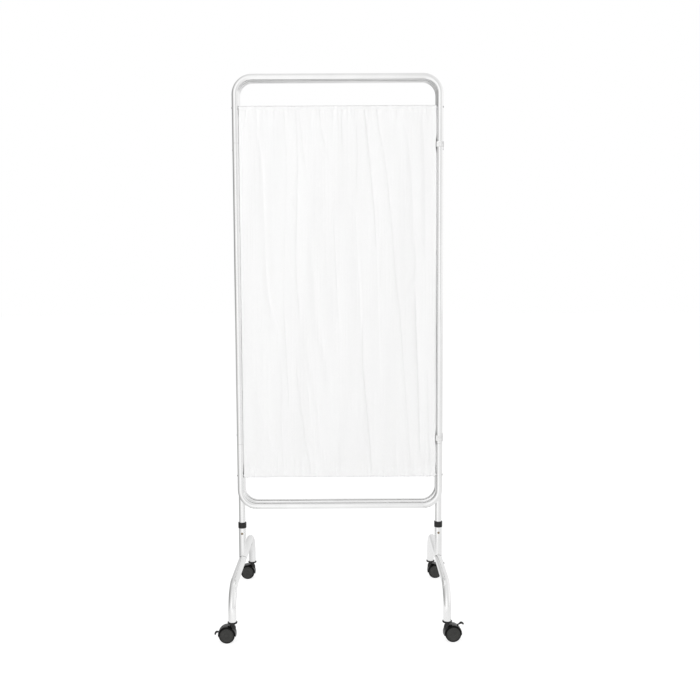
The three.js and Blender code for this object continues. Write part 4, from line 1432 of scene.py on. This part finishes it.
        return np.stack([self.facing * x, self.y + self.facing * y, z], -1)

    def build(self) -> None:
        points = self.surface()
        cloth = grid(points, Ends.OPEN, closed_columns=False)
        mesh = mesh_of(f"{self.name}_cloth", cloth, sharp_deg=180)
        piece = self.add(f"{self.name}_cloth", mesh, CLOTH, [f"{self.name}_curtain"])
        wall = piece.modifiers.new("thickness", "SOLIDIFY")
        wall.thickness, wall.offset = self.thickness, 0
        stitching = self.build_stitching(points)
        size = arc_lengths(points, 1)[-1], arc_lengths(points, 0)[-1]
        LOG.info("%s: %.3f m across and %.3f m down its surface", self.name, *size)

    def build_stitching(self, points: np.ndarray) -> bpy.types.Object:
        """Sew a row of short stitches along both seams, on both faces of the cloth."""
        radius, reach = self.stitch_radius, self.stitch_length / 2
        end, shoulder = 0.6 * radius, 0.7 * reach
        profile = [(end, -reach), (radius, -shoulder), (radius, shoulder), (end, reach)]
        stitch = grid(revolved(profile, X_AXIS, sides=6), Ends.POLES)
        line, _ = self.section()
        upper = np.arange(len(line)) < len(line) // 2
        front = line[:, 0] <= 0
        rows = []
        for seam, half in ((self.top_seam + self.stitch_rise, upper), (self.bottom_seam, ~upper)):
            distance = np.where(half, np.abs(line[:, 1] - seam), np.inf)
            rows.append((int(np.argmin(np.where(front, distance, np.inf))), -1))
            rows.append((int(np.argmin(np.where(front, np.inf, distance))), 1))
        stand = self.thickness / 2 + radius * 0.5
        left, right = self.stitch_margin
        x = np.arange(left - self.width / 2, self.width / 2 - right, self.stitch_pitch)
        places = []
        for row, face in rows:
            track = points[row][np.argsort(points[row][:, 0])]
            y = np.interp(x, track[:, 0], track[:, 1]) + face * self.facing * stand
            places.append(np.stack([x, y, np.interp(x, track[:, 0], track[:, 2])], -1))
        mesh = mesh_of(f"{self.name}_stitching", copies(stitch, np.vstack(places)), sharp_deg=60)
        return self.add(f"{self.name}_stitching", mesh, THREAD)


# Feet


@dataclass
class Foot(SubAssembly):
    """A foot: its bent tube, the socket tube that takes the leg, the collar and the lock screw."""

    name: str
    side: int
    corner_radius: float = 0.075
    bore: float = 0.0107
    end_height: float = 0.0625
    socket_bore: float = 0.0113
    socket_top: float = 0.287
    socket_start: float = 0.02  # over the foot tube's centre line, before its end is shaped to the foot tube
    saddle_bevel: float = 0.0003
    collar_radius: float = 0.014
    collar_half: float = 0.01
    collar_edge: float = 0.0012
    groove_rise: float = 0.0034
    groove: float = 0.0003
    screw_height: float = 0.259
    screw_radius: float = 0.0038
    screw_stand: float = 0.0008
    screw_edge: float = 0.0005
    hole_start: float = 0.004
    hole_length: float = 0.02
    drive_radius: float = 0.0018
    drive_depth: float = 0.0011
    drive_flat: float = 0.95

    @property
    def x(self) -> float:
        """The middle of the foot along the panels."""
        return self.side * TUBE_SIDE

    def build(self) -> None:
        """Build the whole foot."""
        self.build_tube()
        self.build_socket()
        self.build_collar()
        self.build_screw()

    def build_tube(self) -> None:
        """Bend the foot tube."""
        x, end, low = self.x, FOOT_END, self.end_height
        corners = [(x, -end, low), (x, -end, FOOT_AXIS), (x, end, FOOT_AXIS), (x, end, low)]
        line = bent(corners, self.corner_radius, X_AXIS)
        self.add_pipe(f"{self.name}_foot_tube", pipe(line, FOOT_RADIUS, self.bore))

    def build_socket(self) -> None:
        """Shape the foot of the socket tube to the foot tube, and drill the hole for the lock screw."""
        node = f"{self.name}_socket_tube"
        start = FOOT_AXIS + self.socket_start
        ends = np.array([[self.x, 0, start], [self.x, 0, self.socket_top]])
        points = pipe(Path(ends, np.array([Z_AXIS, Z_AXIS]), Y_AXIS), FOOT_RADIUS, self.socket_bore)
        low = points[..., 2].mean(axis=1) < (start + self.socket_top) / 2
        points[low] = saddled(points[low], 2, 0, (self.x, 0, FOOT_AXIS), FOOT_RADIUS + FIT_GAP)
        points[[1, -2], :, 2] += self.saddle_bevel
        hole = self.screw_radius + FIT_GAP
        base = (self.x, -self.hole_start, self.screw_height)
        drill = revolved([(hole, 0), (hole, self.hole_length)], -Y_AXIS, base)
        mesh = carved(mesh_of(node, grid(points, Ends.LOOP)), [grid(drill, Ends.POLES)])
        self.add(f"{node}_steel", mesh, STEEL, [node])

    def build_collar(self) -> None:
        """Turn the collar, with two fine grooves, a grip on the socket tube and a guide for the leg."""
        node = f"{self.name}_leg_collar"
        radius, half, edge, groove = self.collar_radius, self.collar_half, self.collar_edge, self.groove
        grip, guide, soft = FOOT_RADIUS + FIT_GAP, self.socket_bore, 0.4 * edge
        profile = [(grip, -half), (radius - edge, -half)]
        profile += [(radius - soft, soft / 2 - half), (radius, edge - half)]
        for level in (-self.groove_rise, self.groove_rise):
            profile += [(radius, level - groove), (radius - groove, level), (radius, level + groove)]
        profile += [(radius, half - edge), (radius - soft, half - soft / 2), (radius - edge, half)]
        profile += [(guide + groove, half), (guide, half - groove), (guide, FIT_GAP), (grip, FIT_GAP)]
        points = revolved(profile, base=(self.x, 0, self.socket_top))
        self.add(f"{node}_moulding", mesh_of(node, grid(points, Ends.LOOP), sharp_deg=30), BLACK, [node])

    def build_screw(self) -> None:
        """Turn the lock screw, with a six-sided recess in its face."""
        node = f"{self.name}_lock_screw"
        face, tip = FOOT_RADIUS + self.screw_stand, FRAME_RADIUS + FIT_GAP
        radius, drive, edge = self.screw_radius, self.drive_radius, self.screw_edge
        floor, soft, lead = face - self.drive_depth, 0.3 * edge, 0.4 * edge
        profile = [(drive / 2, floor - 0.6 * edge), (drive, floor), (drive, face)]
        profile += [(radius - edge, face), (radius - soft, face - soft), (radius, face - edge)]
        profile += [(radius, tip + lead), (radius - lead, tip)]
        angle = np.linspace(0, 2 * math.pi, SIDES, endpoint=False)
        six = self.drive_flat / np.cos((angle % (math.pi / 3)) - math.pi / 6)
        shape = np.ones((len(profile), SIDES))
        shape[:3] = six
        points = revolved(profile, -Y_AXIS, (self.x, 0, self.screw_height), shape=shape)
        self.add(f"{node}_steel", mesh_of(node, grid(points, Ends.POLES), sharp_deg=25), SCREW, [node])


# Casters, each drawn round its upright stem with Z = 0 at the floor, trailing towards +X


class Lever(Enum):
    """The two patterns of brake lever."""

    SMOOTH = "a plain curved hook"
    RIBBED = "cross ribs on the pedal"


@dataclass
class Caster(SubAssembly):
    """A twin-wheel caster with its socket, hood, wheels and brake lever."""

    name: str
    foot: str
    side: int
    end: int
    heading_deg: float
    lever_deg: float
    lever: Lever
    trail: float = 0.0165
    axle_height: float = 0.025
    wheel_radius: float = 0.025
    wheel_width: float = 0.013
    wheel_inner: float = 0.0056
    axle_bore: float = 0.0028
    drill_half: float = 0.02
    hub_depth: float = 0.01
    # The disc's face: rows of how far in from its rim, and how far out past the wheel's width.
    disc_rim: tuple[tuple[float, float], ...] = (
        (0, -0.0010),
        (0.0004, -0.0005),
        (0.0022, -0.0002),
        (0.0026, -0.0008),
        (0.0034, -0.0008),
        (0.0038, -0.0001),
    )
    # The cap in its middle: rows of radius, and how far out past the wheel's width.
    disc_cap: tuple[tuple[float, float], ...] = (
        (0.0125, 0.0003),
        (0.0078, 0.0004),
        (0.0074, 0),
        (0.0070, 0),
        (0.0066, 0.0006),
        (0.004, 0.0008),
    )
    tyre_depth: float = 0.0034
    tyre_gap: float = 0.0001
    tyre_edge: float = 0.0004
    tyre_radii: tuple[float, float, float, float] = (0.0001, 0.002, 0.0026, 0.0003)
    web_half: float = 0.005
    web_lap: float = 0.001
    hood_bore: float = 0.0265
    hood_radius: float = 0.0285
    hood_half: float = 0.017
    hood_crown: float = 0.0016
    hood_rows: int = 61
    rim_margin: float = 0.0005
    skirt: float = 0.006
    neck_radius: float = 0.0095
    # The neck's flare: rows of how far out past its radius, and how far over its foot.
    neck_flare: tuple[tuple[float, float], ...] = ((0.0015, 0), (0.0012, 0.012), (0, 0.016))
    waist_rise: float = 0.0195
    neck_waist: float = 0.0072
    neck_edge: float = 0.0008
    neck_top: float = 0.0587
    neck_foot: float = 0.034
    stem_radius: float = 0.005
    stem_top: float = 0.0857
    flange_radius: float = 0.0155
    flange_top: float = 0.0622
    flange_thickness: float = 0.003
    flange_edge: float = 0.0006
    lip_radius: float = 0.0131
    lip_rise: float = 0.0016
    plug_radius: float = 0.0104
    plug_length: float = 0.028
    plug_lead: float = 0.001
    plug_wall: float = 0.004
    mouth: float = 0.0004
    pivot: tuple[float, float] = (0.0085, 0.032)
    slot_half: float = 0.0026
    slot_room: float = 0.0027
    slot_reach: float = 0.06
    slot_span_deg: tuple[float, float] = (0.0, 34.0)
    arm: float = 0.0435
    pedal: float = 0.009
    droop_deg: float = 75.0
    arm_half: float = 0.0023
    pedal_half: float = 0.005
    pedal_start: float = 0.0374
    pedal_flare: float = 0.006
    lever_half: float = 0.0019
    arm_middle: tuple[float, float] = (0.02, 0.0006)
    knee: tuple[float, float] = (0.0012, 0.0002)
    lever_radii: tuple[float, float, float, float] = (0, 0.01, 0.0062, 0)
    lever_step: float = 0.0004
    pin_radius: float = 0.0015
    pin_half: float = 0.0046
    pin_edge: float = 0.0003
    skin_size: float = 0.0006
    pedal_swell: float = 0.0008
    rib: float = 0.00028
    rib_pitch: float = 0.0022

    def placed(self, mesh: bpy.types.Mesh) -> bpy.types.Mesh:
        """Turn a mesh to the caster's heading and move it under its end of the foot."""
        spot = Vector((self.side * TUBE_SIDE, self.end * FOOT_END, 0))
        mesh.transform(Matrix.Translation(spot) @ Matrix.Rotation(math.radians(self.heading_deg), 4, "Z"))
        mesh.update()
        return mesh

    def build(self) -> None:
        """Build the whole caster."""
        self.build_socket()
        node = f"{self.name}_caster_body"
        mesh = Caster.shared_body().copy()
        rims = self.rims(mesh)
        self.add(f"{node}_moulding", self.placed(mesh), BLACK, [node])
        mesh.materials.append(material_of(TYRE))
        mesh.polygons.foreach_set("material_index", rims)
        self.keep(f"{self.name}_axle", SCREW)
        for letter, face in (("a", -1), ("b", 1)):
            self.build_wheel(f"{self.name}_wheel_{letter}", face)
        self.build_lever()

    def build_socket(self) -> None:
        """Turn the plug in the end of the foot tube, with its flange and the lip round the tube."""
        node = f"{self.name}_caster_socket"
        top, bore, plug = self.flange_top, self.stem_radius + FIT_GAP, self.plug_radius
        low, lip, end = top - self.flange_thickness, top + self.lip_rise, top + self.plug_length
        radius, edge, mouth, lead = self.flange_radius, self.flange_edge, self.mouth, self.plug_lead
        profile = [(bore, end - self.plug_wall), (bore, low + mouth), (bore + mouth, low)]
        profile += [(radius - 2 * edge, low), (radius - 0.5 * edge, low + edge), (radius, lip - edge)]
        profile += [(radius - 0.4 * edge, lip), (self.lip_radius, lip - edge), (self.lip_radius, top)]
        profile += [(plug, top), (plug, end - lead), (plug - lead, end)]
        shell = grid(revolved(profile), Ends.POLES)
        self.add(f"{node}_moulding", self.placed(mesh_of(node, shell)), BLACK, [node], body=self.foot)

    @staticmethod
    @lru_cache(maxsize=None)
    def shared_body() -> bpy.types.Mesh:
        """Mould the body that all four casters share, the first time that it is asked for."""
        return Caster("", "", "", 1, 1, 0, 0, Lever.SMOOTH).mould()

    def rims(self, mesh: bpy.types.Mesh) -> np.ndarray:
        """Pick out the side faces of the hood, which are as matt as the tyres.

        Args:
            mesh: The body, before it is placed.

        Returns:
            1 for each such face, and 0 for the others.
        """
        middle, facing = np.empty(3 * len(mesh.polygons)), np.empty(3 * len(mesh.polygons))
        mesh.polygons.foreach_get("center", middle)
        mesh.polygons.foreach_get("normal", facing)
        x, y, z = middle.reshape(-1, 3).T
        side = (np.abs(facing[1::3]) > 0.6) & (np.abs(y) > 0.8 * self.hood_half)
        outside = np.hypot(x - self.trail, z - self.axle_height) > self.hood_bore - self.rim_margin
        return (side & outside).astype(np.int32)

    def hood_shell(self) -> Shell:
        """Sweep the hood's section over the wheels.

        The section is a thin rounded strip across the caster, whose outer face drops by a crown that grows as
        the fourth power of the place across. It is carried round the axle from skirt to skirt.

        Returns:
            The closed hood.
        """
        across = np.linspace(-1, 1, 15)
        outer = np.stack([across * self.hood_half, self.hood_radius - self.hood_crown * across**4], -1)
        inner = np.stack([across[::-1] * self.hood_half, np.full_like(across, self.hood_bore)], -1)
        section = np.vstack([outer, inner])
        dip = math.asin(self.skirt / self.hood_radius)
        angle = np.linspace(-dip, math.pi + dip, self.hood_rows)[:, None]
        x = self.trail + section[:, 1] * np.cos(angle)
        z = self.axle_height + section[:, 1] * np.sin(angle)
        return grid(np.stack([x, np.broadcast_to(section[:, 0], x.shape), z], -1), Ends.POLES)

    def web_shell(self) -> Shell:
        """Carry a disc that is cut off below the axle across the gap between the wheels."""
        radius = self.hood_bore + self.web_lap
        dip = math.asin(self.skirt / radius)
        angle = np.linspace(-dip, math.pi + dip, self.hood_rows)
        half = self.web_half
        y = np.array([-half, half])[:, None] + np.zeros_like(angle)
        x = self.trail + radius * np.cos(angle) + np.zeros_like(y)
        z = self.axle_height + radius * np.sin(angle) + np.zeros_like(y)
        return grid(np.stack([x, y, z], -1), Ends.POLES)

    def neck_shell(self) -> Shell:
        """Turn the neck, which flares into the hood, and the stem above it."""
        foot, waist, top, edge = self.neck_foot, self.neck_waist, self.neck_top, self.neck_edge
        stem, end = self.stem_radius, self.stem_top
        profile = [(self.neck_radius + out, foot + rise) for out, rise in self.neck_flare]
        profile += [(waist, foot + self.waist_rise), (waist, top - edge), (waist - edge, top)]
        profile += [(stem, top), (stem, end - edge), (stem - edge, end)]
        return grid(revolved(profile), Ends.POLES)

    def slot_shell(self) -> Shell:
        """Fan out the room that the lever's arm needs, from below its pressed to above its released place."""
        low, high = (math.radians(a) for a in self.slot_span_deg)
        x, z = self.pivot
        spin = np.linspace(high + math.pi / 2, low + 1.5 * math.pi, 9)
        hub = np.stack([x + self.slot_room * np.cos(spin), z + self.slot_room * np.sin(spin)], -1)
        ways = np.array([[math.cos(low), math.sin(low)], [math.cos(high), math.sin(high)]])
        outline = np.vstack([hub, hub[[-1, 0]] + self.slot_reach * ways])
        y = np.array([-self.slot_half, self.slot_half])[:, None] + np.zeros(len(outline))
        flat = np.broadcast_to(outline, (2, *outline.shape))
        return grid(np.stack([flat[..., 0], y, flat[..., 1]], -1), Ends.POLES)

    def mould(self) -> bpy.types.Mesh:
        """Melt the body's shells into one closed skin, soften it, and cut its slot and bores."""
        raw = mesh_of("caster_shells", merged([self.hood_shell(), self.web_shell(), self.neck_shell()]))

        def modify(holder: bpy.types.Object) -> None:
            """Wrap the shells in one skin of small faces, and even it out."""
            skin = holder.modifiers.new("skin", "REMESH")
            skin.mode, skin.voxel_size = "VOXEL", self.skin_size
            soft = holder.modifiers.new("soft", "SMOOTH")
            soft.factor, soft.iterations = 0.5, 4

        body = evaluated(raw, modify)
        bar = [(self.axle_bore, -self.drill_half), (self.axle_bore, self.drill_half)]
        pin_bore, pin_room = self.pin_radius + FIT_GAP, self.web_half - 0.0002
        pin = [(pin_bore, -pin_room), (pin_bore, pin_room)]
        cutters = [
            self.slot_shell(),
            grid(revolved(bar, Y_AXIS, (self.trail, 0, self.axle_height), 24), Ends.POLES),
            grid(revolved(pin, Y_AXIS, (self.pivot[0], 0, self.pivot[1]), 20), Ends.POLES),
        ]
        return carved(body, cutters)

    def build_wheel(self, node: str, face: int) -> None:
        """Turn a wheel: a grey disc with a raised cap, a ring groove and a dome, inside a black tyre."""
        base = (self.trail, face * self.wheel_inner, self.axle_height)
        axis = face * Y_AXIS
        rim, width = self.wheel_radius - self.tyre_depth, self.wheel_width
        disc = [(self.axle_bore, self.hub_depth), (self.axle_bore, 0), (rim, 0)]
        disc += [(rim - inset, width + rise) for inset, rise in self.disc_rim]
        disc += [(radius, width + rise) for radius, rise in self.disc_cap]
        shell = grid(revolved(disc, axis, base, sides=64), Ends.POLES)
        self.add(f"{node}_disc", self.placed(mesh_of(node, shell, sharp_deg=28)), WHEEL, [node], body=node)
        seat, tread, edge = rim + self.tyre_gap, self.wheel_radius, self.tyre_edge
        section = [(seat, 1.5 * edge), (tread, edge), (tread, width - edge), (seat, width - edge / 2)]
        tyre = rounded(section, self.tyre_radii, closed=True)
        ring = grid(revolved(tyre, axis, base, sides=64), Ends.LOOP)
        self.add(f"{node}_tyre", self.placed(mesh_of(f"{node}_tyre", ring)), TYRE, body=node)

    def lever_points(self) -> np.ndarray:
        """Carry a rounded section along the lever's line.

        The line runs along the arm and bends down into the pedal. The section is a super-ellipse with the
        power 4, which widens and thickens from the arm to the pedal, closes at both ends, and on a ribbed
        lever swells with a cosine of the distance along the pedal.

        Returns:
            Rows round the section at stations along the lever.
        """
        droop = math.radians(self.droop_deg)
        tip = (self.arm + self.pedal * math.cos(droop), -self.pedal * math.sin(droop))
        knee = (self.arm + self.knee[0], self.knee[1])
        corners = [(-self.lever_half, 0), self.arm_middle, knee, tip]
        line = resampled(rounded(corners, self.lever_radii), self.lever_step)
        out, along = left_of(line), distances(line)
        grow = eased((along - self.pedal_start) / self.pedal_flare)
        half = self.arm_half + (self.pedal_half - self.arm_half) * grow
        near = np.minimum(along, along[-1] - along) / self.lever_half
        close = np.sqrt(np.clip(1 - (1 - np.clip(near, 0, 1)) ** 2, 0.06, 1))
        spin = np.linspace(0, 2 * math.pi, 24, endpoint=False)
        c, s = np.cos(spin), np.sin(spin)
        wide, thick = np.sign(c) * np.abs(c) ** 0.5, np.sign(s) * np.abs(s) ** 0.5
        ribs = (self.lever is Lever.RIBBED) * self.rib * grow * np.cos(2 * math.pi * along / self.rib_pitch)
        deep = self.lever_half + self.pedal_swell * grow
        thickness = (deep * close)[:, None] * thick + ribs[:, None] * (thick > 0.3)
        x = line[:, 0, None] + out[:, 0, None] * thickness
        z = line[:, 1, None] + out[:, 1, None] * thickness
        y = (half - self.lever_half * (1 - close))[:, None] * wide
        return np.stack([x, y, z], -1)

    def build_lever(self) -> None:
        """Turn the lever about its pivot, with its pin, and put it in its slot."""
        node = f"{self.name}_brake_lever"
        radius, half, edge = self.pin_radius, self.pin_half, self.pin_edge
        pin = [(radius - edge, -half), (radius, edge - half), (radius, half - edge), (radius - edge, half)]
        shells = [grid(self.lever_points(), Ends.POLES), grid(revolved(pin, Y_AXIS, sides=24), Ends.POLES)]
        mesh = mesh_of(node, merged(shells), sharp_deg=40)
        spot = Matrix.Translation((self.pivot[0], 0, self.pivot[1]))
        mesh.transform(spot @ Matrix.Rotation(-math.radians(self.lever_deg), 4, "Y"))
        self.add(f"{node}_moulding", self.placed(mesh), BLACK, [node], body=f"{self.name}_brake_lever")


def main() -> None:
    """Build the studio and every sub-assembly in turn, and report each."""
    logging.basicConfig(level=logging.INFO, format="%(message)s")
    Viewpoint().build()
    Studio().build()
    assemblies = [
        Wing("front_wing", "front_wing", -FRAME_PITCH, 1),
        Wing("rear_wing", "rear_wing", FRAME_PITCH, -1),
        CentreFrame("centre_frame", "centre", 0.0, 1),
        HingeClips("front_clips", "front", 1),
        HingeClips("rear_clips", "rear", -1),
        Curtain("front_wing", "front_wing", -FRAME_PITCH, 1, False, 11),
        Curtain("rear_wing", "rear_wing", FRAME_PITCH, -1, False, 12),
        Curtain("centre_frame", "centre", 0.0, 1, True, 13, (-1, 1)),
        Foot("left_foot", "left", -1),
        Foot("right_foot", "right", 1),
        Caster("front_left_caster", "front_left", "left_foot", -1, -1, 180, 0, Lever.SMOOTH),
        Caster("front_right_caster", "front_right", "right_foot", 1, -1, 6, 34, Lever.RIBBED),
        Caster("rear_left_caster", "rear_left", "left_foot", -1, 1, 180, 34, Lever.RIBBED),
        Caster("rear_right_caster", "rear_right", "right_foot", 1, 1, 0, 34, Lever.RIBBED),
    ]
    for assembly in assemblies:
        assembly.build()
        LOG.info("%s %s: %d pieces", type(assembly).__name__, assembly.name, len(assembly.made))


if __name__ == "__main__":
    main()
